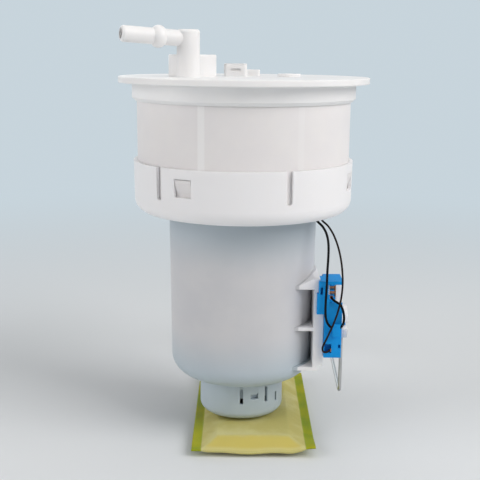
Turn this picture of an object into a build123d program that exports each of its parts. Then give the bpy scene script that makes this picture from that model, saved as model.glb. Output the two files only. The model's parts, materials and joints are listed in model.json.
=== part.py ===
from build123d import *
from math import cos, pi, radians, sin, sqrt, tan
import os

os.makedirs("parts", exist_ok=True)

# Frame: the origin is the centre of the flange's underside, +Z is up along the module's axis.
# The front is -Y, the level sender stands at +X. All sizes are millimetres.
# Azimuths are degrees from the front (-Y) towards +X.

# Clearances between pieces
seat = 0.15                  # parts that plug together and stay
loose = 0.3                  # parts that pass each other
running = 0.05               # shafts in their bearings
slip = 0.02                  # pieces that touch face to face

# Main radii: the barrel, the drum round its shoulder, the spigot and flange round the drum
barrel_top_r = 39.3
barrel_draft = 1.0           # the barrel is this much slimmer at its base
shoulder_w = 16.3
spigot_wall = 2.5
flange_lip = 6.9
barrel_base_r = barrel_top_r - barrel_draft
drum_r = barrel_top_r + shoulder_w
spigot_r = drum_r + spigot_wall
flange_r = spigot_r + flange_lip

# Flange and tank spigot
flange_t = 3.2
flange_round = 0.5
spigot_depth = 7.4
spigot_bevel = 1.7
spigot_tip = 0.6

# Filter drum, the clear cup that hangs from the flange
drum_wall = 2.0
drum_floor_z = -56.0         # upper face of the drum's floor
drum_floor_t = 2.5
drum_rib_w = 3.6
drum_rib_out = 1.2
drum_rib_end = 3.5           # the ribs stop this far below the upper end plate
drum_rib_azimuths = (-22.7, 33.0, 157.3, 213.0)
drum_foot_w = 3.0
drum_foot_l = 10.0
drum_foot_azimuths = (60.0, 180.0, 300.0)
drum_in_r = drum_r - drum_wall
drum_low_z = drum_floor_z - drum_floor_t

# Lower housing: snap ring, shoulder and pump cylinder
ring_top_z = -39.5
ring_wall = 1.85
ring_draft = 0.25
shoulder_z = -66.3           # underside of the shoulder
shoulder_t = 2.5
shoulder_fillet = 1.5
ring_round = 7.0
barrel_wall = 2.2
barrel_base_z = -156.0
barrel_round = 8.0           # inward reach of the rounding at the base
barrel_round_h = 10.0        # height of that rounding
barrel_round_r = 10.5
barrel_floor_t = 2.4
ring_in_r = drum_r + seat
ring_r = ring_in_r + ring_wall
ring_inner_round = ring_in_r - (ring_r - ring_draft - ring_round)
barrel_in_top = barrel_top_r - barrel_wall
barrel_in_base = barrel_base_r - barrel_wall

# Snap ring windows with the drum's lugs, and slots
window_azimuths = (-30.5, 71.0, 149.5, 251.0)
window_w = 9.6
window_top_z = -44.3
window_low_z = -53.1
lug_rise = 2.2               # the wedge starts this far above the window's lower edge
lug_flat = 1.6
slot_azimuths = (-45.8, 22.6, 134.2, 202.6)
slot_w = 3.3
slot_low_z = -55.8

# Pump shell and the pieces turned to fit in it
pump_r = 19.0
pump_wall = 1.2
pump_top_z = -76.0
pump_base_z = -163.0
pump_lip = 1.4               # crimped lip at both ends of the shell
pump_lip_w = 2.0
pump_rim_round = 1.0
pump_face = 2.2              # the end covers' faces stand this far inside the lips
pump_face_h = 2.5
pump_in_r = pump_r - pump_wall
plug_r = pump_in_r - seat

# Pump outlet and its check valve, off the axis
outlet_x = -12.0
outlet_r = 3.95
outlet_bore = 2.6
outlet_top_z = -60.8
outlet_seal_r = 1.0
outlet_seal_drop = 4.0
socket_depth = 9.0           # length of the drum's socket over the outlet
socket_wall_t = 1.5
valve_throat_r = 1.5
valve_seat_z = pump_top_z + 1.0
valve_rest = 0.06
poppet_r = 2.2
poppet_t = 1.6
poppet_round = 0.5
stem_r = 0.8
stem_l = 4.0
stop_rise = 9.0
stop_t = 1.2
stop_bar = 1.0
valve_spring_r = 1.65
valve_spring_wire = 0.22
valve_spring_turns = 5

# Pump inlet
inlet_x = 8.0
inlet_r = 5.2
inlet_bore = 3.6

# Motor
shaft_r = 1.6
shaft_top_z = -87.0
shaft_low_z = -157.0
magnet_t = 3.45
magnet_gap = 2.0
magnet_top_z = -102.0
magnet_low_z = -142.0
magnet_span = 130.0          # degrees of arc
magnet_in_r = plug_r - magnet_t
core_r = magnet_in_r - magnet_gap
core_top_z = -106.0
core_low_z = -138.0
core_slots = 8
core_slot_w = 1.6
core_slot_depth = 5.0
winding_over = 3.0           # the windings stand out past the core
winding_in = 3.4
commutator_r = 8.0
commutator_t = 5.0
cover_t = 11.0               # outlet cover inside the shell
brush_x = 5.4
brush_side = 3.4
brush_l = 6.0
brush_rest = 0.06
brush_spring_r = 1.2
brush_spring_wire = 0.2
brush_spring_turns = 3
bush_r = 3.4
bush_h = 3.4
tab_x, tab_y = 11.0, 4.5
tab_w, tab_t = 3.0, 0.8
tab_low_z = pump_top_z - 3.0
tab_top_z = pump_top_z + 7.5
cover_low_z = pump_top_z - pump_lip - cover_t
brush_pocket_z = pump_top_z - pump_lip - 1.6
commutator_top_z = cover_low_z - 0.8

# Pumping chamber
impeller_side = 3.05         # wall left beside the impeller
impeller_t = 3.2
impeller_gap = 0.1
impeller_vanes = 24
vane_slot_w = 1.8
vane_slot_depth = 2.2
plate_top_z = -145.5         # upper plate of the chamber
plate_t = 4.0
plate_hub_r = 5.0
plate_hub_h = 2.0
port_x0, port_x1, port_w = 9.0, 13.0, 4.0
impeller_r = plug_r - impeller_side
impeller_top_z = plate_top_z - plate_t - impeller_gap
chamber_low_z = impeller_top_z - impeller_t - impeller_gap

# Neck of the lower housing, guide sleeve and the snap cap below
neck_wall = 1.5
neck_low_z = -166.5
cap_wall = 1.6
cap_low_z = -178.2
cap_floor_t = 2.0
cap_round = 4.0
cap_inner_round = 2.0
finger_azimuths = (18.3, 138.3, 258.3)
finger_half = 17.9           # degrees from a finger's middle to its slots
finger_top_z = -160.5
finger_low_z = -168.9
finger_slot_w = 1.7
catch_w = 4.3
catch_top_z = -163.2
catch_low_z = -166.4
catch_side = 0.25
catch_flat = 0.8
catch_rise = 1.1             # the wedge starts this far above the window's lower edge
catch_out = 0.9
vent_w = 1.6
vent_top_z = -165.2
vent_low_z = -170.4
vent_azimuths = (55.9, 175.9)
neck_in_r = pump_r + loose
neck_r = neck_in_r + neck_wall
cap_in_r = neck_r + loose
cap_r = cap_in_r + cap_wall
cap_top_z = barrel_base_z - loose
cap_floor_z = cap_low_z + cap_floor_t
inlet_low_z = cap_low_z + 0.4
guide_gap = 3.2
guide_wall = 1.6
guide_top_z = -98.0
guide_r = pump_r + guide_gap
isolator_h = 9.0
isolator_lobes = 8
isolator_notch_w = 5.2
isolator_notch_depth = 1.5
isolator_web = 2.0
isolator_rise = 1.0

# Filter element
media_gap = 3.6
media_in_r = 27.0
pleats = 48
pleat_band = 1.8             # radial thickness of the folded band
end_plate_t = 2.0
end_plate_over = 1.0
end_plate_in = 7.0           # the upper plate reaches this far inside the pleats
media_top_z = -16.0
media_low_z = -49.0
rim_seal_r = 1.1
duct_seal_r = 1.0
media_r = drum_in_r - media_gap

# Pressure regulator under the drum's floor
regulator_x = 4.0
regulator_y = -(barrel_top_r - 12.3)
regulator_r = 7.0
regulator_wall = 1.0
regulator_socket_wall = 1.5
regulator_seat = 6.0         # depth of the drum's socket
regulator_gap = 0.4
regulator_len = 17.0
regulator_head = 4.0
regulator_port = 2.2
regulator_throat = 1.6
regulator_ball_r = 2.4
regulator_rest = 0.12
regulator_foot_r = 3.4
regulator_foot_t = 1.7
regulator_spring_r = 2.9
regulator_spring_wire = 0.4
regulator_spring_turns = 4
regulator_plug_t = 1.6
regulator_hole_r = 0.9
regulator_hole_at = 3.2
regulator_hole_azimuths = (45.0, 135.0, 225.0, 315.0)
regulator_top_z = drum_low_z - regulator_gap
regulator_low_z = regulator_top_z - regulator_len
regulator_seat_z = regulator_top_z - regulator_head - regulator_wall
regulator_ball_z = regulator_seat_z - sqrt(regulator_ball_r ** 2 - regulator_throat ** 2) - regulator_rest
regulator_foot_z = regulator_ball_z - regulator_ball_r - 0.8

# Plug socket on the flange, with the lead duct through the filter under it
duct_x, duct_y = -4.4, 9.0
duct_r = 7.5
duct_bore = 6.0
gasket_t = 2.0
socket_w = 12.0
socket_l = 20.0
socket_wall = 1.5
socket_round = 1.6
well_round = 1.0
socket_top_z = 9.6
socket_floor_z = -7.0
socket_floor_t = 1.5
step_w = 6.7
step_top_z = 6.6
step_front = 1.5             # the step stands back from the socket's front and rear
step_rear = 4.0
step_round = 1.2
latch_w = 5.2
latch_top_z = 7.2
latch_low_z = 6.2
blades = 4
blade_w, blade_t = 2.0, 0.8
blade_pitch = 3.0
blade_top_z = 4.5
blade_low_z = -13.0
socket_low_z = socket_floor_z - socket_floor_t
duct_top_z = socket_low_z - gasket_t

# Outlet: boss, riser and quick-connect nipple
boss_x, boss_y = -26.1, -12.0
boss_r = 12.1
boss_round = 0.8
boss_top_z = 14.2
boss_core_r = 9.6
boss_core_top_z = 11.6
riser_x, riser_y = -27.6, -22.0
riser_r = 5.75
riser_round = 1.4
riser_top_z = 26.3
riser_bore = 3.2
nipple_r = 3.945
nipple_bore = 2.5
nipple_z = 21.7
nipple_len = 34.6            # from the riser's axis to the tip
nipple_tip = 1.5
nipple_turn = 25.0           # degrees from -X towards the front
nipple_rise = 3.6            # degrees above level
bead_at = 15.6
bead_r = 5.45
bead_half = 3.1
bump_x, bump_y = 23.8, 4.0
bump_r = 6.15
bump_h = 1.5
bump_round = 0.5

# Sender bracket on the barrel's side
bracket_inset = 1.2          # inner face of the plate, inside the barrel's radius
bracket_front_y = -27.5
bracket_back_y = 1.5
bracket_web_y = -1.0
bracket_root_x = 24.0
bracket_narrow = 3.0
bracket_wide = 5.2
bracket_top_z = -97.9
bracket_step_z = -116.5
bracket_wide_low_z = -144.9
bracket_low_z = -147.8
rib_t = 1.9
rib_tops = (-124.2, -145.9)
gusset_top_z = -101.9
gusset_root_x = 29.0
bracket_x = barrel_base_r - bracket_inset
bracket_narrow_x = bracket_x + bracket_narrow
bracket_wide_x = bracket_x + bracket_wide

# Sender frame: an open tray on the bracket's plate
frame_gap = 0.2
frame_w = 9.0
frame_wall = 1.6
frame_front_y = -30.5
frame_back_y = 1.0
frame_top_z = -98.7
frame_low_z = -139.4
frame_top_back_y = -14.0
frame_shoulder_z = -105.0
sill_z = -110.0              # top of the front wall
sill_step_w = 2.4
sill_step_z = -106.0
clip_l = 12.0
clip_rise = 0.4
clip_mark_w, clip_mark_depth = 1.0, 3.0
clip_mark_top_z, clip_mark_low_z = -101.8, -105.6
hook_over = 0.8              # the clip's hook overlaps the plate's front edge
hook_wide_over = 1.6
hook_wide_z = -105.2
foot_h = 7.2
foot_l = 9.0
notch_x0, notch_x1 = 0.4, 3.9
notch_low, notch_top = 2.6, 7.3
notch_depth = 3.2
eye_x0, eye_x1 = 1.6, 0.5    # measured in from the tray's open side
eye_low, eye_top = 5.2, 7.0
eye_depth = 2.0
pivot_y = -16.0
pivot_z = -123.9
post_r = 2.5
post_collar = 2.2
post_collar_t = 3.4
post_end = 0.6
lip_in_y, lip_out_y = -32.9, -33.7
lip_x0, lip_x1 = 4.1, 8.1    # measured from the plate's wide face
lip_top_z, lip_low_z = -120.4, -125.8
lip_foot = 1.2
tray_x = bracket_wide_x + frame_gap
tray_in_x = tray_x + frame_wall
frame_out_x = tray_x + frame_w

# Resistor card with its tracks
card_t = 0.8
card_gap = 0.05
card_margin = 1.0
card_front = 1.3
card_low_z = -121.4
card_hole = 2.5
track_t = 0.08
tracks = ((14.6, 16.0), (17.3, 18.7))
track_from, track_to = 48.0, 128.0
card_x = tray_in_x + card_gap
track_x = card_x + card_t

# Rotor and contacts
hub_r = 8.9
hub_gap = 0.4
hub_t = 3.5
hub_cap = 0.4
sleeve_wall = 1.9
sleeve_l = 3.4
groove_h = 3.6
groove_depth = 2.3
groove_l = 20.0
carrier_in_r, carrier_out_r = 10.0, 19.4
carrier_root_r = 4.0
carrier_mid, carrier_half = 62.0, 9.0    # degrees up from +Y about the pivot
carrier_gap = 1.4
carrier_arm_t = 1.7
strip_t = 0.5
strip_half = 8.0
strip_in, strip_out = 3.6, 0.3
finger_tips = ((14.7, 15.9), (17.4, 18.6))
tip_half = 6.5
tip_gap = 0.3
hub_in_x = frame_out_x + hub_gap
hub_out_x = hub_in_x + hub_t
carrier_x = frame_out_x - carrier_gap

# Float arm
wire_r = 0.9
wire_at = 1.2                # from the hub's inner face
wire_bend = 3.0
wire_grip = 1.2
elbow_z = -163.8
arm_end_y = 112.0
arm_end_z = -149.8
wire_end_x = -1.0
float_x0, float_x1 = 1.0, 42.0
float_deep, float_high = 21.0, 15.0
float_round = 3.0
float_fit = 0.1
wire_x = hub_in_x + wire_at

# Strainer
sock_x = 6.4
sock_w = 64.0
sock_front_y = -47.4
sock_back_y = 65.0
sock_edge_z = -184.0
sock_top_z = -179.6
sock_low_z = -187.6
sock_hem = 5.1
sock_end_hem = 3.0
sock_hem_t = 1.2
sock_wall = 0.7
sock_slope_front = 16.0
sock_slope_side = 9.0
neck_plug_r = 8.2
neck_plug_rise = 3.0         # above the cap's floor
neck_plate_r = 13.0
neck_plate_t = 1.6
washer_w = 2.4
washer_t = 0.5
washer_fit = 0.1
washer_slits = 8
washer_slit_w = 1.0
washer_slit_l = 1.2
grid_t = 1.6
grid_bars = 6
grid_side = 0.2
grid_end = 5.0
neck_plug_top = cap_floor_z + neck_plug_rise
neck_plate_low_z = sock_top_z - sock_wall - neck_plate_t
grid_half = sock_w / 2 - sock_hem - sock_slope_side - sock_wall - grid_side
grid_front_y = sock_front_y + sock_end_hem + sock_slope_front + grid_end
grid_back_y = sock_back_y - sock_end_hem - sock_slope_front - grid_end

# Grommet in the shoulder
grommet_x, grommet_y = bracket_wide_x - 3.55, -22.5
grommet_r = 3.4
grommet_lip = 1.0
grommet_low_z = shoulder_z - 1.2
grommet_top_z = shoulder_z + shoulder_t + 1.0
grommet_rim = 0.2

# Leads of the sender: hand-chosen routes from the grommet to the frame.
# The first number of each point is measured from the plate's wide face.
black_lead_r = 0.62
lead_drop = 0.42             # they leave the grommet aslant, so their ends start this far below it
brown_lead_r = 0.5
black_points = [
    (-4.9, -23.2, grommet_low_z - lead_drop), (-3.9, -24.0, -69.0), (-1.7, -25.4, -70.8), (0.0, -26.5, -73.5),
    (1.0, -27.8, -76.7), (1.4, -29.2, -80.8), (1.2, -30.6, -86.7), (0.8, -31.6, -93.3),
    (0.7, -32.2, -100.5), (0.4, -32.4, -107.3), (0.3, -32.4, -113.6), (0.7, -32.2, -118.2),
    (2.2, -32.0, -121.5), (4.5, -31.9, -123.2), (7.4, -32.0, -123.5), (9.6, -32.1, -121.4),
    (10.2, -32.2, -117.6), (9.5, -32.3, -113.6), (8.2, -32.2, -110.4), (6.4, -32.1, -109.3),
    (4.3, -30.9, -108.3), (3.6, -28.8, -107.5),
]
brown_points = [
    (-2.2, -21.8, grommet_low_z - lead_drop), (-1.3, -22.6, -68.9), (1.2, -24.1, -70.7), (3.8, -25.9, -74.5),
    (5.9, -28.1, -79.5), (7.5, -30.4, -85.7), (8.4, -32.8, -92.7), (8.6, -34.2, -99.9),
    (7.9, -34.8, -107.1), (6.5, -34.9, -113.4), (4.7, -34.9, -119.2), (2.6, -34.8, -124.3),
    (0.7, -34.4, -129.0), (-0.8, -33.5, -132.6), (-0.5, -32.5, -135.6), (2.0, -31.5, -136.4),
    (3.3, -29.9, -135.3),
]
black_route = [(bracket_wide_x + x, y, z) for x, y, z in black_points]
brown_route = [(bracket_wide_x + x, y, z) for x, y, z in brown_points]
terminal_gap = 0.3
terminal_t = 0.7
terminal_side = 0.9
terminal_half = 0.8

# Leads inside: from the plug's blades down the duct, to the pump and to the grommet
pump_lead_r = 0.8
plus_route = [
    (duct_x, 7.5, blade_low_z), (duct_x, 7.5, -54.0), (-3.2, 5.6, -61.0), (2.5, 0.5, -63.0),
    (8.5, -3.4, -62.6), (tab_x, -tab_y, -65.2), (tab_x, -tab_y, tab_top_z),
]
minus_route = [
    (duct_x, 10.5, blade_low_z), (duct_x, 10.5, -54.0), (-2.4, 9.2, -60.5), (4.5, 6.5, -62.8),
    (9.3, 4.9, -62.9), (tab_x, tab_y, -65.2), (tab_x, tab_y, tab_top_z),
]
black_inner_route = [
    (duct_x, 4.5, blade_low_z), (duct_x, 4.5, -58.0), (-1.5, 3.4, -60.4), (20.0, -12.5, -60.6),
    (black_route[0][0], black_route[0][1], -60.0), (black_route[0][0], black_route[0][1], grommet_top_z),
]
brown_inner_route = [
    (duct_x, 13.5, blade_low_z), (duct_x, 13.5, -57.5), (-1.0, 11.0, -60.4), (21.5, -8.5, -60.6),
    (brown_route[0][0], brown_route[0][1], -60.0), (brown_route[0][0], brown_route[0][1], grommet_top_z),
]


# Helpers
def rod(r, z_low, z_high, x=0.0, y=0.0):
    """upright round bar"""
    return Pos(x, y, z_low) * Cylinder(r, z_high - z_low, align=(Align.CENTER, Align.CENTER, Align.MIN))


def tube(r, bore, z_low, z_high, x=0.0, y=0.0):
    """upright round tube"""
    return rod(r, z_low, z_high, x, y) - rod(bore, z_low, z_high, x, y)


def block(x0, x1, y0, y1, z0, z1):
    """box from its six limits"""
    size = (x1 - x0, y1 - y0, z1 - z0)
    return Pos((x0 + x1) / 2, (y0 + y1) / 2, (z0 + z1) / 2) * Box(*size)


def cross_rod(r, x0, x1):
    """round bar along X through the sender's pivot"""
    bar = Cylinder(r, x1 - x0, align=(Align.CENTER, Align.CENTER, Align.MIN))
    return Pos(x0, pivot_y, pivot_z) * Rot(0, 90, 0) * bar


def turned(points):
    """solid of revolution about Z from (radius, z) points"""
    face = Plane.XZ * make_face(Polyline(*points, close=True))
    return revolve(face, Axis.Z)


def around(shape, azimuth):
    """a feature made at the front, turned to its azimuth"""
    return Rot(0, 0, azimuth) * shape


def ring_seal(r, section, z, x=0.0, y=0.0):
    """O-ring"""
    return Pos(x, y, z) * Torus(r, section)


def coil(r, wire, z_low, z_high, turns, x=0.0, y=0.0):
    """compression spring between two heights"""
    low, high = z_low + wire + running, z_high - wire - running
    path = Helix(pitch=(high - low) / turns, height=high - low, radius=r)
    start = Plane(origin=path @ 0, z_dir=path % 0)
    spring = sweep(start * RegularPolygon(wire, 6), path=path, is_frenet=True)
    return Pos(x, y, low) * spring


def top_round(solid, r):
    """the highest round edge of a turned piece, rounded"""
    return fillet(solid.edges().filter_by(GeomType.CIRCLE).sort_by(Axis.Z)[-1], r)


def lead(route, r):
    """round lead: straight runs joined by the largest arcs that the runs allow"""
    points = [Vector(*p) for p in route]
    runs = [b - a for a, b in zip(points, points[1:])]
    radii = []
    for before, after in zip(runs, runs[1:]):
        half_turn = radians(before.get_angle(after) / 2)
        radii.append(0.45 * min(before.length, after.length) / tan(half_turn))
    path = FilletPolyline(*points, radius=radii)
    start = Plane(origin=points[0], z_dir=runs[0])
    solid = sweep(start * Circle(r), path=path)
    print("lead radii", [round(v, 1) for v in radii], "length", round(path.length, 2),
          "volume ratio", round(solid.volume / (pi * r * r * path.length), 4))
    return solid


# Flange with spigot, boss, riser, nipple, socket and bump
def nipple_axis():
    """plane at the riser's axis whose z runs out along the nipple"""
    turn, rise = radians(nipple_turn), radians(nipple_rise)
    out = (-cos(turn) * cos(rise), -sin(turn) * cos(rise), sin(rise))
    return Plane(origin=(riser_x, riser_y, nipple_z), x_dir=(0, 0, 1), z_dir=out)


def nipple_solid():
    """quick-connect nipple: plain tube, round bead and bevelled tip"""
    corner = nipple_tip * 0.27
    with BuildSketch(Plane.XZ) as outline:
        with BuildLine():
            Polyline((0, 0), (nipple_r, 0), (nipple_r, bead_at - bead_half))
            ThreePointArc((nipple_r, bead_at - bead_half), (bead_r, bead_at), (nipple_r, bead_at + bead_half))
            Polyline((nipple_r, bead_at + bead_half), (nipple_r, nipple_len - nipple_tip))
            ThreePointArc((nipple_r, nipple_len - nipple_tip), (nipple_r - corner, nipple_len - corner),
                          (nipple_r - nipple_tip, nipple_len))
            Polyline((nipple_r - nipple_tip, nipple_len), (0, nipple_len), (0, 0))
        make_face()
    return revolve(outline.sketch, Axis.Z)


def flange_body():
    """disc with the skirt that fills the tank's opening"""
    disc = rod(flange_r, 0, flange_t)
    disc = fillet(disc.edges().filter_by(GeomType.CIRCLE), flange_round)
    skirt_in = drum_r + seat
    tip_z = -spigot_depth - spigot_bevel
    skirt = turned([(skirt_in, 0), (spigot_r, 0), (spigot_r, -spigot_depth), (skirt_in + spigot_tip, tip_z),
                    (skirt_in, tip_z)])
    return disc + skirt


def socket_shroud():
    """walls of the plug socket with the step beside it"""
    front, rear = duct_y - socket_l / 2, duct_y + socket_l / 2
    shroud = block(duct_x - socket_w / 2, duct_x + socket_w / 2, front, rear, socket_low_z, socket_top_z)
    shroud = fillet(shroud.edges().filter_by(Axis.Z), socket_round)
    step = block(duct_x, duct_x + socket_w / 2 + step_w, front + step_front, rear - step_rear, 0, step_top_z)
    return shroud + fillet(step.edges().filter_by(Axis.Z), step_round)


def socket_well():
    """what is cut out of the socket: the well and the latch slot in front"""
    half_w, half_l = socket_w / 2 - socket_wall, socket_l / 2 - socket_wall
    well = block(duct_x - half_w, duct_x + half_w, duct_y - half_l, duct_y + half_l, socket_floor_z, socket_top_z)
    well = fillet(well.edges().filter_by(Axis.Z), well_round)
    front = duct_y - socket_l / 2
    latch = block(duct_x - latch_w / 2, duct_x + latch_w / 2, front - 1, front + socket_wall + 1,
                  latch_low_z, latch_top_z)
    return well + latch


def socket_blade(k, z_low, z_high):
    """one of the plug's flat contacts, or the slot that it stands in"""
    y = duct_y + (k - (blades - 1) / 2) * blade_pitch
    return block(duct_x - blade_t / 2, duct_x + blade_t / 2, y - blade_w / 2, y + blade_w / 2, z_low, z_high)


def flange_head():
    head = flange_body() + socket_shroud()
    head += top_round(rod(boss_r, 0, boss_top_z, boss_x, boss_y), boss_round)
    head += top_round(rod(riser_r, 0, riser_top_z, riser_x, riser_y), riser_round)
    head += top_round(rod(bump_r, 0, flange_t + bump_h, bump_x, bump_y), bump_round)
    head += nipple_axis().location * nipple_solid()
    # cored boss, riser bore and nipple bore make one passage
    head -= rod(boss_core_r, 0, boss_core_top_z, boss_x, boss_y)
    head -= rod(riser_bore, 0, nipple_z, riser_x, riser_y)
    head -= nipple_axis().location * rod(nipple_bore, 0, nipple_len)
    head -= socket_well()
    for k in range(blades):
        head -= socket_blade(k, socket_low_z - loose, socket_floor_z + loose)
    return head


def socket_blades():
    return Compound([socket_blade(k, blade_low_z, blade_top_z) for k in range(blades)])


# Filter drum with its ribs, snap lugs, lead duct, pump outlet socket and regulator socket
def filter_drum():
    cup = tube(drum_r, drum_in_r, drum_low_z, 0)
    cup += rod(drum_in_r + drum_wall / 2, drum_low_z, drum_floor_z)
    cup += tube(duct_r, duct_bore, drum_low_z, duct_top_z, duct_x, duct_y)
    cup -= rod(duct_bore, drum_low_z, drum_floor_z, duct_x, duct_y)
    outlet_socket_r = outlet_r + 2 * outlet_seal_r
    socket_end_z = outlet_top_z - socket_depth
    cup += tube(outlet_socket_r + socket_wall_t, outlet_socket_r, socket_end_z, drum_low_z, outlet_x, 0)
    cup -= rod(outlet_bore, drum_low_z, drum_floor_z, outlet_x, 0)
    for azimuth in drum_rib_azimuths:
        rib = block(-drum_rib_w / 2, drum_rib_w / 2, -drum_in_r - drum_wall / 4, -drum_in_r + drum_rib_out,
                    drum_floor_z, media_top_z + end_plate_t - drum_rib_end)
        cup += around(rib, azimuth)
    for azimuth in window_azimuths:
        cup += around(snap_lug(), azimuth)
    for azimuth in drum_foot_azimuths:
        foot = block(-drum_foot_w / 2, drum_foot_w / 2, -media_r + media_gap, -media_r + media_gap + drum_foot_l,
                     drum_floor_z, media_low_z - end_plate_t)
        cup += around(foot, azimuth)
    socket_in = regulator_r + seat
    cup += tube(socket_in + regulator_socket_wall, socket_in, drum_low_z - regulator_seat, drum_low_z,
                regulator_x, regulator_y)
    cup -= rod(regulator_port, drum_low_z, drum_floor_z, regulator_x, regulator_y)
    return cup


def wedge(root_r, face_r, out_r, top_z, low_z, flat, width):
    """snap wedge at the front of a round wall: thin below, with a flat stop at its top"""
    with BuildSketch(Plane.YZ) as side:
        with BuildLine():
            Polyline((-root_r, top_z), (-out_r, top_z), (-out_r, top_z - flat), (-face_r, low_z),
                     (-root_r, low_z), close=True)
        make_face()
    return extrude(side.sketch, width / 2, both=True)


def snap_lug():
    """drum's lug that springs into a window of the snap ring"""
    return wedge(drum_r - drum_wall / 3, drum_r + 0.1, drum_r + ring_wall - 0.2, window_top_z - loose,
                 window_low_z + lug_rise, lug_flat, window_w - 2 * loose)


# Pressure regulator
def regulator_can():
    can = rod(regulator_r, regulator_low_z, regulator_top_z, regulator_x, regulator_y)
    can -= rod(regulator_r - regulator_wall, regulator_low_z, regulator_seat_z, regulator_x, regulator_y)
    return can - rod(regulator_throat, regulator_seat_z - loose, regulator_top_z, regulator_x, regulator_y)


def regulator_valve():
    """ball on its spring foot"""
    ball = Pos(regulator_x, regulator_y, regulator_ball_z) * Sphere(regulator_ball_r)
    return ball + rod(regulator_foot_r, regulator_foot_z, regulator_foot_z + regulator_foot_t,
                      regulator_x, regulator_y)


def regulator_spring():
    return coil(regulator_spring_r, regulator_spring_wire, regulator_low_z + regulator_plug_t + 0.2,
                regulator_foot_z, regulator_spring_turns, regulator_x, regulator_y)


def regulator_plug():
    plug = rod(regulator_r - regulator_wall - seat, regulator_low_z, regulator_low_z + regulator_plug_t,
               regulator_x, regulator_y)
    hole = rod(regulator_hole_r, regulator_low_z, regulator_low_z + regulator_plug_t, 0, -regulator_hole_at)
    for azimuth in regulator_hole_azimuths:
        plug -= Pos(regulator_x, regulator_y, 0) * around(hole, azimuth)
    return plug


# Lower housing: ring, shoulder, barrel, neck and sender bracket
def housing_profile():
    """outline of the revolved wall, from the ring's top round to the neck and back up inside"""
    ring_low_out = ring_r - ring_draft
    flat_r = ring_low_out - ring_round
    base_r = barrel_base_r - barrel_round
    base_top = barrel_base_z + barrel_round_h
    floor_z = barrel_base_z + barrel_floor_t
    shelf_z = shoulder_z + shoulder_t
    with BuildSketch(Plane.XZ) as wall:
        with BuildLine():
            Polyline((ring_in_r, ring_top_z), (ring_r, ring_top_z), (ring_low_out, shoulder_z + ring_round))
            RadiusArc((ring_low_out, shoulder_z + ring_round), (flat_r, shoulder_z), ring_round)
            Line((flat_r, shoulder_z), (barrel_top_r + shoulder_fillet, shoulder_z))
            RadiusArc((barrel_top_r + shoulder_fillet, shoulder_z), (barrel_top_r, shoulder_z - shoulder_fillet),
                      -shoulder_fillet)
            Line((barrel_top_r, shoulder_z - shoulder_fillet), (barrel_base_r, base_top))
            RadiusArc((barrel_base_r, base_top), (base_r, barrel_base_z), barrel_round_r)
            Polyline((base_r, barrel_base_z), (neck_r, barrel_base_z), (neck_r, neck_low_z), (neck_in_r, neck_low_z),
                     (neck_in_r, floor_z), (base_r, floor_z))
            RadiusArc((base_r, floor_z), (barrel_in_base, base_top), -(barrel_round_r - barrel_wall))
            Polyline((barrel_in_base, base_top), (barrel_in_top, shelf_z), (flat_r, shelf_z))
            RadiusArc((flat_r, shelf_z), (ring_in_r, shelf_z + ring_inner_round), -ring_inner_round)
            Line((ring_in_r, shelf_z + ring_inner_round), (ring_in_r, ring_top_z))
        make_face()
    return wall.sketch


def bracket_plate(out_x, z_low, z_high):
    """one width of the upright plate"""
    return block(bracket_x, out_x, bracket_front_y, bracket_back_y, z_low, z_high)


def bracket_gusset():
    """top shelf that rises from the barrel to the plate's upper edge"""
    under = gusset_top_z - rib_t
    points = [(bracket_root_x, under), (bracket_x + 0.5, under), (bracket_x + 0.5, bracket_top_z),
              (bracket_x, bracket_top_z), (gusset_root_x, gusset_top_z), (bracket_root_x, gusset_top_z)]
    face = Plane.XZ.offset(-bracket_back_y) * make_face(Polyline(*points, close=True))
    return extrude(face, bracket_back_y - bracket_front_y, dir=(0, -1, 0))


def sender_bracket():
    """upright plate on three shelves that run tangentially off the barrel, closed behind by a web"""
    plates = bracket_plate(bracket_narrow_x, bracket_step_z, bracket_top_z)
    plates += bracket_plate(bracket_wide_x, bracket_wide_low_z, bracket_step_z)
    plates += bracket_plate(bracket_narrow_x, bracket_low_z, bracket_wide_low_z)
    for top in rib_tops:
        plates += block(bracket_root_x, bracket_x + 0.5, bracket_front_y, bracket_back_y, top - rib_t, top)
    web = block(bracket_root_x, bracket_x + 0.5, bracket_web_y, bracket_back_y, bracket_low_z,
                gusset_top_z - rib_t)
    return plates + bracket_gusset() + web


def catch_lug():
    """wedge on the neck that springs into the cap's window"""
    return wedge(neck_r - neck_wall / 3, neck_r + running, cap_in_r + catch_out, catch_top_z - 0.2,
                 catch_low_z + catch_rise, catch_flat, catch_w - 2 * catch_side)


def ring_window():
    return block(-window_w / 2, window_w / 2, -ring_r - 1, -ring_in_r + 1, window_low_z, window_top_z)


def ring_slot():
    """slot open at the ring's top, with a round lower end"""
    low = slot_low_z + slot_w / 2
    depth = ring_wall + 2
    straight = block(-slot_w / 2, slot_w / 2, -ring_r - 1, -ring_in_r + 1, low, ring_top_z + 1)
    end = Pos(0, -(ring_r + ring_in_r) / 2, low) * Rot(90, 0, 0) * Cylinder(slot_w / 2, depth)
    return straight + end


def lower_housing():
    body = revolve(housing_profile(), Axis.Z)
    inside = rod(barrel_base_r - barrel_wall / 2, bracket_low_z - 5, bracket_top_z + 5)
    body += sender_bracket() - inside
    for azimuth in window_azimuths:
        body -= around(ring_window(), azimuth)
    for azimuth in slot_azimuths:
        body -= around(ring_slot(), azimuth)
    for azimuth in finger_azimuths:
        body += around(catch_lug(), azimuth)
    body -= rod(grommet_r - grommet_lip, shoulder_z - 1, shoulder_z + shoulder_t + 1, grommet_x, grommet_y)
    # inner guide sleeve that holds the pump's rubber rings
    return body + tube(guide_r + guide_wall, guide_r, barrel_base_z + barrel_floor_t, guide_top_z)


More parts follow.
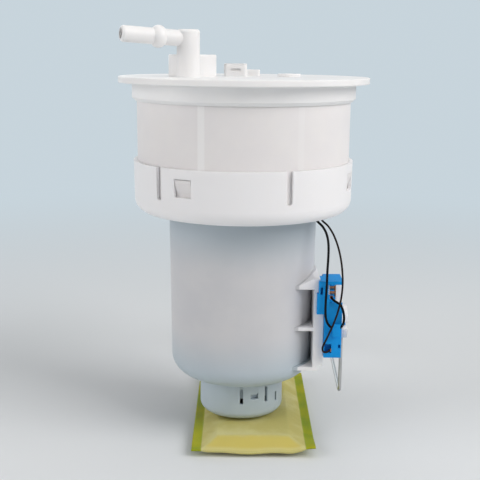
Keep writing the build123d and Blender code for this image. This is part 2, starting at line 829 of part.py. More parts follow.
def pump_isolator(z_low):
    """rubber ring with cut-outs between its lobes"""
    ring = tube(guide_r - seat, pump_r + seat, z_low, z_low + isolator_h)
    notch = block(-isolator_notch_w / 2, isolator_notch_w / 2, -guide_r - 1, -guide_r + isolator_notch_depth,
                  z_low - 1, z_low + isolator_h - isolator_web)
    for k in range(isolator_lobes):
        ring -= around(notch, k * 360 / isolator_lobes)
    return ring


def cap_cut(width, z_low, z_high):
    """opening through the cap's wall at the front"""
    return block(-width / 2, width / 2, -cap_r - 1, -cap_in_r + 1, z_low, z_high)


def bottom_cap():
    cup = rod(cap_r, cap_low_z, cap_top_z)
    cup = fillet(cup.edges().filter_by(GeomType.CIRCLE).sort_by(Axis.Z)[0], cap_round)
    hollow = rod(cap_in_r, cap_floor_z, cap_top_z)
    cup -= fillet(hollow.edges().filter_by(GeomType.CIRCLE).sort_by(Axis.Z)[0], cap_inner_round)
    cup -= rod(neck_plug_r + loose, cap_low_z - 1, cap_floor_z + 1, inlet_x, 0)
    for azimuth in finger_azimuths:
        for side in (-finger_half, finger_half):
            cup -= around(cap_cut(finger_slot_w, finger_low_z, finger_top_z), azimuth + side)
        cup -= around(cap_cut(catch_w, catch_low_z, catch_top_z), azimuth)
    for azimuth in vent_azimuths:
        cup -= around(cap_cut(vent_w, vent_low_z, vent_top_z), azimuth)
    return cup


# Filter element
def filter_media():
    """pleated paper: a star-shaped band of even thickness"""
    outer, inner = [], []
    for k in range(pleats):
        for r, shift in ((media_r, 0.0), (media_in_r, 0.5)):
            a = 2 * pi * (k + shift) / pleats
            outer.append((r * cos(a), r * sin(a)))
            inner.append(((r - pleat_band) * cos(a), (r - pleat_band) * sin(a)))
    band = make_face(Polyline(*outer, close=True)) - make_face(Polyline(*inner, close=True))
    return Pos(0, 0, media_low_z) * extrude(band, media_top_z - media_low_z, dir=(0, 0, 1))


def filter_top_plate():
    """ring glued on the pleats, sealed to the drum's wall by the ring round its rim"""
    return tube(drum_in_r - 2 * rim_seal_r, media_in_r - end_plate_in, media_top_z, media_top_z + end_plate_t)


def filter_bottom_plate():
    plate = rod(media_r + end_plate_over, media_low_z - end_plate_t, media_low_z)
    return plate - rod(duct_r + 2 * duct_seal_r, media_low_z - end_plate_t, media_low_z, duct_x, duct_y)


# Pump
def pump_shell():
    lip_r = plug_r - pump_lip_w
    shell = tube(pump_r, pump_in_r, pump_base_z, pump_top_z)
    shell += tube(pump_in_r + pump_wall / 6, lip_r, pump_top_z - pump_lip, pump_top_z)
    shell += tube(pump_in_r + pump_wall / 6, lip_r, pump_base_z, pump_base_z + pump_lip)
    edges = shell.edges().filter_by(GeomType.CIRCLE)
    return fillet([e for e in edges if abs(e.radius - pump_r) < slip], pump_rim_round)


def pump_outlet_cover():
    """brush holder and outlet: plug in the shell, spigot with the check valve's bore"""
    top, under = pump_top_z - pump_lip, cover_low_z - 1
    body = rod(plug_r, cover_low_z, top)
    body += rod(plug_r - pump_face, top - 1, pump_top_z + pump_face_h)
    body += rod(outlet_r, pump_top_z, outlet_top_z, outlet_x, 0)
    body -= rod(outlet_bore, valve_seat_z, outlet_top_z + 1, outlet_x, 0)
    body -= rod(valve_throat_r, under, valve_seat_z + loose, outlet_x, 0)
    body -= rod(bush_r + seat, under, cover_low_z + bush_h)
    body -= rod(shaft_r + loose, under, shaft_top_z + 0.8)
    half = brush_side / 2 + seat
    for side in (-1, 1):
        y = side * brush_x
        body -= block(-half, half, y - half, y + half, under, brush_pocket_z)
        body -= pump_tab(side, seat, pump_top_z + pump_face_h + 1)
    return body


def pump_tab(side, grow, z_high):
    """flat terminal on the pump's cover, or its slot grown by a clearance"""
    y = side * tab_y
    return block(tab_x - tab_t / 2 - grow, tab_x + tab_t / 2 + grow, y - tab_w / 2 - grow, y + tab_w / 2 + grow,
                 tab_low_z, z_high)


def pump_tabs():
    return Compound([pump_tab(side, 0, tab_top_z) for side in (-1, 1)])


def check_valve():
    """poppet that rests on the outlet's seat, with a guide stem above"""
    low = valve_seat_z + valve_rest
    poppet = rod(poppet_r, low, low + poppet_t, outlet_x, 0)
    poppet = fillet(poppet.edges().filter_by(GeomType.CIRCLE).sort_by(Axis.Z)[0], poppet_round)
    return poppet + rod(stem_r, low + poppet_t, low + poppet_t + stem_l, outlet_x, 0)


def check_valve_stop():
    """cross in the spigot that the valve's spring pushes against"""
    low = valve_seat_z + stop_rise
    ring = tube(outlet_bore - slip, outlet_bore - 0.6, low, low + stop_t, outlet_x, 0)
    reach = outlet_bore - 0.4
    return ring + block(outlet_x - reach, outlet_x + reach, -stop_bar / 2, stop_bar / 2, low, low + stop_t)


def check_valve_spring():
    return coil(valve_spring_r, valve_spring_wire, valve_seat_z + valve_rest * 2 + poppet_t,
                valve_seat_z + stop_rise, valve_spring_turns, outlet_x, 0)


def pump_bush():
    return tube(bush_r, shaft_r + running, cover_low_z, cover_low_z + bush_h)


def pump_brushes():
    low, half = commutator_top_z + brush_rest, brush_side / 2
    return Compound([block(-half, half, side * brush_x - half, side * brush_x + half, low, low + brush_l)
                     for side in (-1, 1)])


def brush_springs():
    low = commutator_top_z + brush_rest + brush_l + 0.04
    return Compound([coil(brush_spring_r, brush_spring_wire, low, brush_pocket_z, brush_spring_turns,
                          0, side * brush_x) for side in (-1, 1)])


def magnet(azimuth):
    """arc segment on the shell's wall"""
    ring = tube(plug_r, magnet_in_r, magnet_low_z, magnet_top_z)
    reach = pump_r * 1.5
    edge = [(0, 0)]
    for share in (-0.5, -0.25, 0, 0.25, 0.5):
        a = radians(share * magnet_span)
        edge.append((reach * cos(a), reach * sin(a)))
    sector_face = make_face(Polyline(*edge, close=True))
    part = Pos(0, 0, magnet_low_z) * extrude(sector_face, magnet_top_z - magnet_low_z, dir=(0, 0, 1))
    return Rot(0, 0, azimuth) * (ring & part)


def pump_magnets():
    return Compound([magnet(0), magnet(180)])


def pump_armature():
    """shaft, wound core and commutator as one turning piece"""
    turning = rod(shaft_r, shaft_low_z, shaft_top_z)
    turning += rod(commutator_r, commutator_top_z - commutator_t, commutator_top_z)
    core = rod(core_r, core_low_z, core_top_z)
    slot = block(-core_slot_w / 2, core_slot_w / 2, -core_r - 1, -core_r + core_slot_depth,
                 core_low_z, core_top_z)
    for k in range(core_slots):
        core -= around(slot, k * 360 / core_slots)
    return turning + core + rod(core_r - winding_in, core_low_z - winding_over, core_top_z + winding_over)


def chamber_plate():
    """upper plate of the pumping chamber, with the shaft's lower bearing"""
    low = plate_top_z - plate_t
    plate = rod(plug_r, low, plate_top_z)
    plate += rod(plate_hub_r, low, plate_top_z + plate_hub_h)
    plate -= rod(shaft_r + running, low, plate_top_z + plate_hub_h)
    return plate - block(port_x0, port_x1, -port_w / 2, port_w / 2, low, plate_top_z)


def impeller():
    low = impeller_top_z - impeller_t
    disc = tube(impeller_r, shaft_r, low, impeller_top_z)
    notch = block(-vane_slot_w / 2, vane_slot_w / 2, -impeller_r - 1, -impeller_r + vane_slot_depth,
                  low, impeller_top_z)
    for k in range(impeller_vanes):
        disc -= around(notch, k * 360 / impeller_vanes)
    return disc


def chamber_spacer():
    """ring round the impeller that sets the chamber's height"""
    return tube(plug_r, impeller_r + loose, chamber_low_z, plate_top_z - plate_t)


def pump_inlet_cover():
    cover = rod(plug_r, pump_base_z + pump_lip, chamber_low_z)
    cover += rod(plug_r - pump_face, pump_base_z - 0.6, pump_base_z + pump_lip + 1)
    cover += rod(inlet_r, inlet_low_z, pump_base_z, inlet_x, 0)
    cover -= rod(inlet_bore, inlet_low_z, chamber_low_z, inlet_x, 0)
    return cover - rod(shaft_r + loose, shaft_low_z - 0.6, chamber_low_z)


# Strainer: neck, retainer, inner grid and sewn bag
def strainer_neck():
    """collar that pushes on the pump's inlet and spreads inside the bag"""
    collar = rod(neck_plug_r, neck_plate_low_z, neck_plug_top, inlet_x, 0)
    collar += rod(neck_plate_r, neck_plate_low_z, sock_top_z - sock_wall - loose, inlet_x, 0)
    return collar - rod(inlet_r + seat, neck_plate_low_z - 1, neck_plug_top, inlet_x, 0)


def strainer_retainer():
    """toothed spring washer over the neck, on the cap's floor"""
    low = cap_floor_z + washer_fit
    bore = neck_plug_r + washer_fit
    washer = tube(neck_plug_r + washer_w, bore, low, low + washer_t, inlet_x, 0)
    slit = block(-washer_slit_w / 2, washer_slit_w / 2, -bore - washer_slit_l, -bore + 1, low, low + washer_t)
    for k in range(washer_slits):
        washer -= Pos(inlet_x, 0, 0) * around(slit, k * 360 / washer_slits)
    return washer


def pillow_half(shrink, z_end):
    """from the hem's middle plane to one level face, with sloped ends and sides"""
    x0, x1 = sock_x - sock_w / 2 + sock_hem + shrink, sock_x + sock_w / 2 - sock_hem - shrink
    y0, y1 = sock_front_y + sock_end_hem + shrink, sock_back_y - sock_end_hem - shrink
    centre = ((x0 + x1) / 2, (y0 + y1) / 2)
    edge = Pos(*centre, sock_edge_z) * Rectangle(x1 - x0, y1 - y0)
    face = Pos(*centre, z_end) * Rectangle(x1 - x0 - 2 * sock_slope_side, y1 - y0 - 2 * sock_slope_front)
    return loft([edge, face])


def pillow(shrink):
    """bag's outer form, or its hollow when shrunk by the wall"""
    return pillow_half(shrink, sock_top_z - shrink) + pillow_half(shrink, sock_low_z + shrink)


def strainer_bag():
    hem = block(sock_x - sock_w / 2, sock_x + sock_w / 2, sock_front_y, sock_back_y,
                sock_edge_z - sock_hem_t / 2, sock_edge_z + sock_hem_t / 2)
    bag = hem + pillow(0) - pillow(sock_wall)
    return bag - rod(neck_plug_r + loose, sock_edge_z, sock_top_z + 1, inlet_x, 0)


def strainer_grid():
    """inner skeleton that keeps the bag's two sides apart"""
    top = neck_plate_low_z - loose
    low = sock_low_z + sock_wall + loose
    x0, x1 = sock_x - grid_half, sock_x + grid_half
    grid = block(sock_x - grid_t / 2, sock_x + grid_t / 2, grid_front_y, grid_back_y, low, top)
    for k in range(grid_bars):
        y = grid_front_y + (grid_back_y - grid_front_y - grid_t) * k / (grid_bars - 1)
        grid += block(x0, x1, y, y + grid_t, low, top)
    for x in (x0, x1 - grid_t):
        grid += block(x, x + grid_t, grid_front_y, grid_back_y, low, low + grid_t)
    return grid


# Sender
def side_prism(points, x0, x1):
    """prism along X over a (y, z) outline"""
    face = Plane.YZ.offset(x0) * make_face(Polyline(*points, close=True))
    return extrude(face, x1 - x0, dir=(1, 0, 0))


def sector(r0, r1, a0, a1, x0, x1):
    """ring sector about the pivot: angles in degrees up from +Y towards +Z"""
    def at(r, a):
        return (pivot_y + r * cos(radians(a)), pivot_z + r * sin(radians(a)))
    mid = (a0 + a1) / 2
    with BuildSketch(Plane.YZ.offset(x0)) as face:
        with BuildLine():
            ThreePointArc(at(r0, a0), at(r0, mid), at(r0, a1))
            Line(at(r0, a1), at(r1, a1))
            ThreePointArc(at(r1, a1), at(r1, mid), at(r1, a0))
            Line(at(r1, a0), at(r0, a0))
        make_face()
    return extrude(face.sketch, x1 - x0, dir=(1, 0, 0))


def frame_outline(inset):
    """side outline of the sender frame, in (y, z)"""
    return [
        (frame_front_y + inset, frame_top_z - inset), (frame_top_back_y - inset * 0.2, frame_top_z - inset),
        (frame_back_y - inset, frame_shoulder_z - inset * 0.7), (frame_back_y - inset, frame_low_z + inset),
        (frame_front_y + inset, frame_low_z + inset),
    ]


def frame_tray():
    """tray open at its outer side, and above the sill in front"""
    tray = side_prism(frame_outline(0), tray_x, frame_out_x)
    tray -= side_prism(frame_outline(frame_wall), tray_in_x, frame_out_x + 1)
    front, behind = frame_front_y - 1, frame_front_y + frame_wall + loose
    top = frame_top_z - frame_wall
    tray -= block(tray_in_x, frame_out_x + 1, front, behind, sill_step_z, top)
    return tray - block(tray_x + sill_step_w, frame_out_x + 1, front, behind, sill_z, sill_step_z + loose)


def frame_clip():
    """block that clips over the upper part of the bracket's plate, with a hook round its front edge"""
    low = bracket_step_z + clip_rise
    clip = block(bracket_narrow_x + frame_gap, tray_x + frame_gap, frame_front_y, frame_front_y + clip_l,
                 low, frame_top_z)
    mark = block(bracket_narrow_x, bracket_narrow_x + frame_gap + clip_mark_w, frame_front_y - 1,
                 frame_front_y + clip_mark_depth, clip_mark_low_z, clip_mark_top_z)
    behind = bracket_front_y - frame_gap
    clip += block(bracket_narrow_x - hook_over, tray_x + frame_gap, frame_front_y, behind, low, frame_top_z)
    clip += block(bracket_narrow_x - hook_wide_over, tray_x + frame_gap, frame_front_y, behind, low, hook_wide_z)
    return clip - mark


def frame_foot():
    """solid foot of the tray, with the lead's notch and a small eye in its front"""
    low, top = frame_low_z, frame_low_z + foot_h
    back = frame_front_y + foot_l
    return side_prism([(frame_front_y, low), (frame_front_y, top), (back, top), (back, low)],
                      tray_x, frame_out_x)


def frame_notches():
    front = frame_front_y - 1
    notch = block(tray_x + notch_x0, tray_x + notch_x1, front, frame_front_y + notch_depth,
                  frame_low_z + notch_low, frame_low_z + notch_top)
    eye = block(frame_out_x - eye_x0, frame_out_x - eye_x1, front, frame_front_y + eye_depth,
                frame_low_z + eye_low, frame_low_z + eye_top)
    return notch + eye


def pivot_post():
    root = tray_x + frame_wall / 3
    return cross_rod(post_r, root, hub_out_x - post_end) + cross_rod(post_r + post_collar, root, root + post_collar_t)


def lead_guide():
    """lip held off the front wall by its foot, with the lead behind it"""
    x0, x1 = bracket_wide_x + lip_x0, bracket_wide_x + lip_x1
    foot = block(x0, x1, lip_out_y, frame_front_y + frame_wall / 8, lip_low_z - lip_foot, lip_low_z)
    return foot + block(x0, x1, lip_out_y, lip_in_y, lip_low_z - lip_foot / 6, lip_top_z)


def sender_frame():
    return frame_tray() + frame_clip() + frame_foot() - frame_notches() + pivot_post() + lead_guide()


def resistor_card():
    """ceramic card on the tray's back wall, with a hole round the pivot post"""
    front = frame_front_y + frame_wall + card_front
    back = frame_back_y - frame_wall - card_margin
    top = frame_top_z - frame_wall - card_margin
    slope_z = frame_shoulder_z - frame_wall - card_margin
    points = [(front, top), (frame_top_back_y - card_margin, top), (back, slope_z), (back, card_low_z),
              (front, card_low_z)]
    card = side_prism(points, card_x, card_x + card_t)
    return card - cross_rod(post_r + card_hole, card_x - 1, card_x + card_t + 1)


def card_tracks():
    """printed resistor arcs on the card"""
    return Compound([sector(r0, r1, track_from, track_to, track_x, track_x + track_t) for r0, r1 in tracks])


def sender_rotor():
    """white hub with its sleeve, wire socket and the carrier for the contacts"""
    a0, a1 = carrier_mid - carrier_half, carrier_mid + carrier_half
    rotor = cross_rod(hub_r, hub_in_x, hub_out_x)
    rotor += cross_rod(post_r + sleeve_wall, hub_in_x - sleeve_l, hub_in_x)
    rotor += sector(carrier_root_r, carrier_out_r, a0, a1, hub_in_x, hub_in_x + carrier_arm_t)
    rotor += sector(carrier_in_r, carrier_out_r, a0, a1, carrier_x, hub_in_x + frame_gap)
    rotor -= cross_rod(post_r + running, hub_in_x - sleeve_l - 1, hub_out_x - hub_cap)
    rotor -= block(hub_out_x - groove_depth, hub_out_x + 1, pivot_y - groove_l / 2, pivot_y + groove_l / 2,
                   pivot_z - groove_h / 2, pivot_z + groove_h / 2)
    return rotor - rod(wire_r + running, pivot_z - hub_r - 1, pivot_z - post_r - wire_grip + 0.2, wire_x, pivot_y)


def wiper_contacts():
    """copper strip on the carrier with two sprung fingers towards the card"""
    strip = sector(carrier_in_r + strip_in, carrier_out_r - strip_out, carrier_mid - strip_half,
                   carrier_mid + strip_half, carrier_x - strip_t, carrier_x - slip)
    for r0, r1 in finger_tips:
        strip += sector(r0, r1, carrier_mid - tip_half, carrier_mid + tip_half, track_x + track_t + tip_gap,
                        carrier_x - strip_t / 2)
    return strip


def float_wire():
    points = [(wire_x, pivot_y, pivot_z - post_r - wire_grip), (wire_x, pivot_y, elbow_z),
              (wire_x, arm_end_y, arm_end_z), (wire_end_x, arm_end_y, arm_end_z)]
    path = FilletPolyline(*points, radius=wire_bend)
    start = Plane(origin=points[0], z_dir=(0, 0, -1))
    return sweep(start * Circle(wire_r), path=path)


def float_body():
    box = block(float_x0, float_x1, arm_end_y - float_deep / 2, arm_end_y + float_deep / 2,
                arm_end_z - float_high / 2, arm_end_z + float_high / 2)
    box = fillet(box.edges(), float_round)
    bore = Cylinder(wire_r + float_fit, float_x1 - float_x0 + 2, align=(Align.CENTER, Align.CENTER, Align.MIN))
    return box - Pos(float_x0 - 1, arm_end_y, arm_end_z) * Rot(0, 90, 0) * bore


def sender_terminals():
    """crimp terminals where the two leads end in the frame"""
    x, y, z = black_route[-1]
    upper = block(tray_in_x, x + terminal_side, y + terminal_gap, y + terminal_gap + terminal_t,
                  z - terminal_half, z + terminal_half)
    x, y, z = brown_route[-1]
    lower = block(x + terminal_gap + 0.1, tray_x + notch_x1, y - terminal_half, frame_front_y + notch_depth,
                  z - terminal_half, z + terminal_half)
    return Compound([upper, lower])


def lead_grommet():
    """rubber grommet in the shoulder, that the leads pass through"""
    shelf_z = shoulder_z + shoulder_t + seat
    body = rod(grommet_r, grommet_low_z, shoulder_z - seat, grommet_x, grommet_y)
    body += rod(grommet_r - grommet_lip - seat, grommet_low_z, shelf_z, grommet_x, grommet_y)
    return body + rod(grommet_r - grommet_rim, shelf_z, grommet_top_z, grommet_x, grommet_y)


nodes = {
    "flange_head": flange_head(),
    "socket_blades": socket_blades(),
    "duct_gasket": tube(duct_r, duct_bore, duct_top_z, duct_top_z + gasket_t, duct_x, duct_y),
    "filter_drum": filter_drum(),
    "filter_media": filter_media(),
    "filter_top_plate": filter_top_plate(),
    "filter_bottom_plate": filter_bottom_plate(),
    "filter_rim_seal": ring_seal(drum_in_r - rim_seal_r, rim_seal_r, media_top_z + end_plate_t / 2),
    "duct_seal": ring_seal(duct_r + duct_seal_r, duct_seal_r, media_low_z - end_plate_t / 2, duct_x, duct_y),
    "lower_housing": lower_housing(),
    "bottom_cap": bottom_cap(),
    "regulator_can": regulator_can(),
    "regulator_valve": regulator_valve(),
    "regulator_spring": regulator_spring(),
    "regulator_plug": regulator_plug(),
    "pump_shell": pump_shell(),
    "pump_outlet_cover": pump_outlet_cover(),
    "pump_outlet_seal": ring_seal(outlet_r + outlet_seal_r, outlet_seal_r, outlet_top_z - outlet_seal_drop,
                                  outlet_x, 0),
    "pump_tabs": pump_tabs(),
    "check_valve": check_valve(),
    "check_valve_spring": check_valve_spring(),
    "check_valve_stop": check_valve_stop(),
    "pump_bush": pump_bush(),
    "pump_brushes": pump_brushes(),
    "brush_springs": brush_springs(),
    "pump_magnets": pump_magnets(),
    "pump_armature": pump_armature(),
    "chamber_plate": chamber_plate(),
    "chamber_spacer": chamber_spacer(),
    "impeller": impeller(),
    "pump_inlet_cover": pump_inlet_cover(),
    "pump_isolator_upper": pump_isolator(guide_top_z - isolator_h - isolator_web),
    "pump_isolator_lower": pump_isolator(barrel_base_z + barrel_floor_t + isolator_rise),
    "strainer_neck": strainer_neck(),
    "strainer_retainer": strainer_retainer(),
    "strainer_grid": strainer_grid(),
    "strainer_bag": strainer_bag(),
    "sender_frame": sender_frame(),
    "resistor_card": resistor_card(),
    "card_tracks": card_tracks(),
    "sender_terminals": sender_terminals(),
    "sender_rotor": sender_rotor(),
    "wiper_contacts": wiper_contacts(),
    "float_wire": float_wire(),
    "float_body": float_body(),
    "lead_grommet": lead_grommet(),
    "black_lead": lead(black_route, black_lead_r),
    "brown_lead": lead(brown_route, brown_lead_r),
    "pump_lead_plus": lead(plus_route, pump_lead_r),
    "pump_lead_minus": lead(minus_route, pump_lead_r),
    "black_lead_inner": lead(black_inner_route, black_lead_r),
    "brown_lead_inner": lead(brown_inner_route, brown_lead_r),
}

for name, shape in nodes.items():
    export_step(shape, f"parts/{name}.step")
print(len(nodes), "nodes")
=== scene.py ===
import json
from math import pi, radians

import bpy
import numpy as np
from mathutils import Matrix, Vector


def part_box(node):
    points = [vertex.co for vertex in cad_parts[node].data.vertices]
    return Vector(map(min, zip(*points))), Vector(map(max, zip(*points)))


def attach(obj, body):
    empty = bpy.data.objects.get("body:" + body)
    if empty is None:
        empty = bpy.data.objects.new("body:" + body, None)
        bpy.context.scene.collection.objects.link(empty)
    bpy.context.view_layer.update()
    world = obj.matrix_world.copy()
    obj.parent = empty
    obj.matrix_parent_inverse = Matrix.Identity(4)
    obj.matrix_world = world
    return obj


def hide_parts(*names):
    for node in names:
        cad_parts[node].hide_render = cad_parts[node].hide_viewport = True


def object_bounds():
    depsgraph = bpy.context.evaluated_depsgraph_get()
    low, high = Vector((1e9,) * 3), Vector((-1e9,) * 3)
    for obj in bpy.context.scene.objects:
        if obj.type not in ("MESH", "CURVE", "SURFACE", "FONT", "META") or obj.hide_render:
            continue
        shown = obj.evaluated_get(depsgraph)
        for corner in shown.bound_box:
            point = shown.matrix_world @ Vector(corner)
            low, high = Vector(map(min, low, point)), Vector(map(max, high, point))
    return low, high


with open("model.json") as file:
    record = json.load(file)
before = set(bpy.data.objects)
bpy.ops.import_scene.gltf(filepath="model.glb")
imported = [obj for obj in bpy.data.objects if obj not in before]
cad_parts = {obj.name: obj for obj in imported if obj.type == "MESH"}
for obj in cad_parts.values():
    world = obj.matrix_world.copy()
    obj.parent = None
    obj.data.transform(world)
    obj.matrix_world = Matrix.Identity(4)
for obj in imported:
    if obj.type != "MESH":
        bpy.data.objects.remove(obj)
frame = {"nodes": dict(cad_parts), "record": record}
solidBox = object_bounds()  # the solids' box, before anything is added
nodes = frame["nodes"]
mm = 0.001


# helpers for meshes

def gridFaces(rows, columns, closed=False):
    # a quad for each cell of a grid of points, looking along (next column) x (next row); a closed grid's
    # last column joins its first
    index = np.arange(rows * columns).reshape(rows, columns)
    if closed:
        index = np.hstack([index, index[:, :1]])
    corners = [index[:-1, :-1], index[:-1, 1:], index[1:, 1:], index[1:, :-1]]
    return np.stack(corners, -1).reshape(-1, 4)


def meshFrom(name, points, faces):
    mesh = bpy.data.meshes.new(name)
    mesh.from_pydata(points.tolist(), [], faces.tolist())
    mesh.validate()
    mesh.shade_smooth()
    piece = bpy.data.objects.new(name, mesh)
    bpy.context.scene.collection.objects.link(piece)
    return piece


def smoothStep(value, low, high):
    # 0 below low, 1 above high, an S between
    share = np.clip((value - low) / (high - low), 0, 1)
    return share * share * (3 - 2 * share)


# helpers for materials

class Signal:
    # one output socket; arithmetic on signals and numbers adds Math nodes to its material

    def __init__(self, finish, socket):
        self.finish = finish
        self.socket = socket

    def maths(self, operation, first, second=0.0):
        return self.finish.node("ShaderNodeMath", {"operation": operation}, {0: first, 1: second})

    def __add__(self, other):
        return self.maths("ADD", self, other)

    def __radd__(self, other):
        return self.maths("ADD", other, self)

    def __sub__(self, other):
        return self.maths("SUBTRACT", self, other)

    def __rsub__(self, other):
        return self.maths("SUBTRACT", other, self)

    def __mul__(self, other):
        return self.maths("MULTIPLY", self, other)

    def __rmul__(self, other):
        return self.maths("MULTIPLY", other, self)

    def __truediv__(self, other):
        return self.maths("DIVIDE", self, other)

    def span(self, low, high, toLow=0.0, toHigh=1.0):
        # the stretch from low to high becomes toLow to toHigh, eased and held at the ends
        sockets = {"Value": self, "From Min": low, "From Max": high, "To Min": toLow, "To Max": toHigh}
        return self.finish.node("ShaderNodeMapRange", {"interpolation_type": "SMOOTHSTEP"}, sockets)

    def wave(self, length):
        # 0 to 1 and back once in each length
        return self.maths("SINE", self * (2 * pi / length)) * 0.5 + 0.5


class Finish:
    # the nodes of a material, or of the world, in the making

    def __init__(self, name, kind=bpy.data.materials):
        self.material = kind.new(name)
        self.material.use_nodes = True
        self.tree = self.material.node_tree
        self.tree.nodes.clear()

    def node(self, kind, settings, sockets, output=0):
        made = self.tree.nodes.new(kind)
        for key, value in settings.items():
            setattr(made, key, value)
        for key, value in sockets.items():
            if isinstance(value, Signal):
                self.tree.links.new(value.socket, made.inputs[key])
            else:
                made.inputs[key].default_value = value
        return Signal(self, made.outputs[output]) if len(made.outputs) else None

    def place(self):
        return self.node("ShaderNodeTexCoord", {}, {}, "Object")

    def along(self, axis, vector=None):
        return self.node("ShaderNodeSeparateXYZ", {}, {0: vector or self.place()}, axis)

    def length(self, vector):
        return self.node("ShaderNodeVectorMath", {"operation": "LENGTH"}, {0: vector}, "Value")

    def stretched(self, scale):
        return self.node("ShaderNodeMapping", {}, {"Vector": self.place(), "Scale": scale})

    def noise(self, size, detail=2.0, vector=None):
        # size is one blotch, in millimetres
        sockets = {"Vector": vector or self.place(), "Scale": 1 / (size * mm), "Detail": detail}
        return self.node("ShaderNodeTexNoise", {}, sockets)

    def cells(self, size):
        sockets = {"Vector": self.place(), "Scale": 1 / (size * mm)}
        return self.node("ShaderNodeTexVoronoi", {}, sockets, "Distance")

    def mixed(self, share, first, second):
        sockets = {"Factor": share, 6: colour(first), 7: colour(second)}
        return self.node("ShaderNodeMix", {"data_type": "RGBA"}, sockets, 2)

    def rough(self, middle, *swings):
        # the middle roughness, moved both ways by patterns that run from 0 to 1
        roughness = middle - sum(swing for pattern, swing in swings) / 2
        for pattern, swing in swings:
            roughness = pattern * swing + roughness
        return roughness

    def bump(self, height, depth, rounding=None):
        # depth is the height's full swing, and rounding the radius that edges get, in millimetres
        sockets = {"Height": height, "Distance": depth * mm}
        if rounding:
            sockets["Normal"] = self.node("ShaderNodeBevel", {"samples": 4}, {"Radius": rounding * mm})
        return self.node("ShaderNodeBump", {}, sockets)

    def principled(self, sockets):
        shader = self.node("ShaderNodeBsdfPrincipled", {}, sockets, "BSDF")
        self.node("ShaderNodeOutputMaterial", {}, {"Surface": shader})
        return self.material


def colour(value):
    return value if isinstance(value, Signal) else (*value, 1.0)


# studio: the camera stands where the photograph's did

studio = {
    "eye": (-1.36, -466.7, 15.1),    # mm
    "pitch": 11.96,                  # degrees below level
    "roll": 0.48,                    # degrees, the module's top leans right
    "lens": 66.2,
    "nearest": 0.01,                 # m, nothing nearer to the camera is drawn
    "floorGap": 0.3,                 # mm below the strainer
    "floorRadius": 7.0,              # m
    "floorGrid": (16, 96),           # rings, and points on each
    "floorFade": (0.12, 0.9),        # m from the module, where the floor fades into the backdrop
    "floorGrain": 3.0,               # mm
    "floorGrainShare": 0.06,
    "floorColour": (0.735, 0.765, 0.785),
    "backdrop": (0.575, 0.66, 0.715),
    "ambient": (1.0, 0.975, 0.96),
    "ambientStrength": 0.21,
    "lamps": {                       # place in m, side in m, share of a white surface's light, colour
        "keyLamp": ((1.12, -0.68, 0.85), 1.0, 0.70, (1.0, 0.97, 0.95)),
        "topLamp": ((0.15, 0.05, 1.50), 1.1, 0.23, (1.0, 0.985, 0.97)),
        "fillLamp": ((-1.36, -0.52, 0.45), 1.1, 0.43, (1.0, 0.97, 0.955)),
        "rimLamp": ((-0.55, 1.25, 0.55), 0.8, 0.10, (0.98, 0.99, 1.0)),
    },
}


def makeCamera():
    camera = bpy.data.objects.new("camera", bpy.data.cameras.new("camera"))
    bpy.context.scene.collection.objects.link(camera)
    camera.data.lens = studio["lens"]
    camera.data.clip_start = studio["nearest"]
    tilt = Matrix.Rotation(radians(90 - studio["pitch"]), 4, "X")
    roll = Matrix.Rotation(radians(studio["roll"]), 4, "Z")
    camera.matrix_world = Matrix.Translation(Vector(studio["eye"]) * mm) @ tilt @ roll
    bpy.context.scene.camera = camera


def makeLamps(target):
    for name, (place, side, share, tone) in studio["lamps"].items():
        data = bpy.data.lights.new(name, "AREA")
        data.size = side
        data.color = tone
        away = Vector(place) - target
        data.energy = share * pi * pi * away.length_squared  # lights a facing white surface to that share
        lamp = bpy.data.objects.new(name, data)
        lamp.matrix_world = Matrix.Translation(place) @ away.to_track_quat("Z", "Y").to_matrix().to_4x4()
        bpy.context.scene.collection.objects.link(lamp)


def seenDirectly(finish):
    # 1 for rays from the eye, a mirror or through glass
    path = finish.node("ShaderNodeLightPath", {}, {}, "Is Camera Ray")
    mirror = finish.node("ShaderNodeLightPath", {}, {}, "Is Glossy Ray")
    glass = finish.node("ShaderNodeLightPath", {}, {}, "Is Transmission Ray")
    return path.maths("MAXIMUM", path, mirror.maths("MAXIMUM", mirror, glass))


def makeWorld():
    finish = Finish("backdrop", bpy.data.worlds)
    seen = seenDirectly(finish)
    tone = finish.mixed(seen, studio["ambient"], studio["backdrop"])
    strength = seen * (1 - studio["ambientStrength"]) + studio["ambientStrength"]
    shader = finish.node("ShaderNodeBackground", {}, {"Color": tone, "Strength": strength})
    finish.node("ShaderNodeOutputWorld", {}, {"Surface": shader})
    bpy.context.scene.world = finish.material


def floorCard():
    # a matt card that turns into the backdrop with the distance from the module
    finish = Finish("floorCard")
    grain = finish.noise(studio["floorGrain"], detail=3.0)
    card = finish.mixed(grain * studio["floorGrainShare"], studio["floorColour"], studio["backdrop"])
    matte = finish.node("ShaderNodeBsdfDiffuse", {}, {"Color": card})
    glow = finish.node("ShaderNodeEmission", {}, {"Color": colour(studio["backdrop"])})
    share = finish.length(finish.place()).span(*studio["floorFade"]) * seenDirectly(finish)
    shader = finish.node("ShaderNodeMixShader", {}, {0: share, 1: matte, 2: glow})
    finish.node("ShaderNodeOutputMaterial", {}, {"Surface": shader})
    return finish.material


def makeFloor(height):
    # a disc: radius times (cos, sin), its rings spaced by the square of their number
    rings, sides = studio["floorGrid"]
    radii = studio["floorRadius"] * np.linspace(1, 0, rings)[:, None] ** 2
    turn = np.linspace(0, 2 * pi, sides, endpoint=False)[None, :]
    points = np.stack([radii * np.cos(turn), radii * np.sin(turn), np.full((rings, sides), height)], -1)
    floor = meshFrom("floor", points.reshape(-1, 3), gridFaces(rings, sides, closed=True))
    floor.data.materials.append(floorCard())


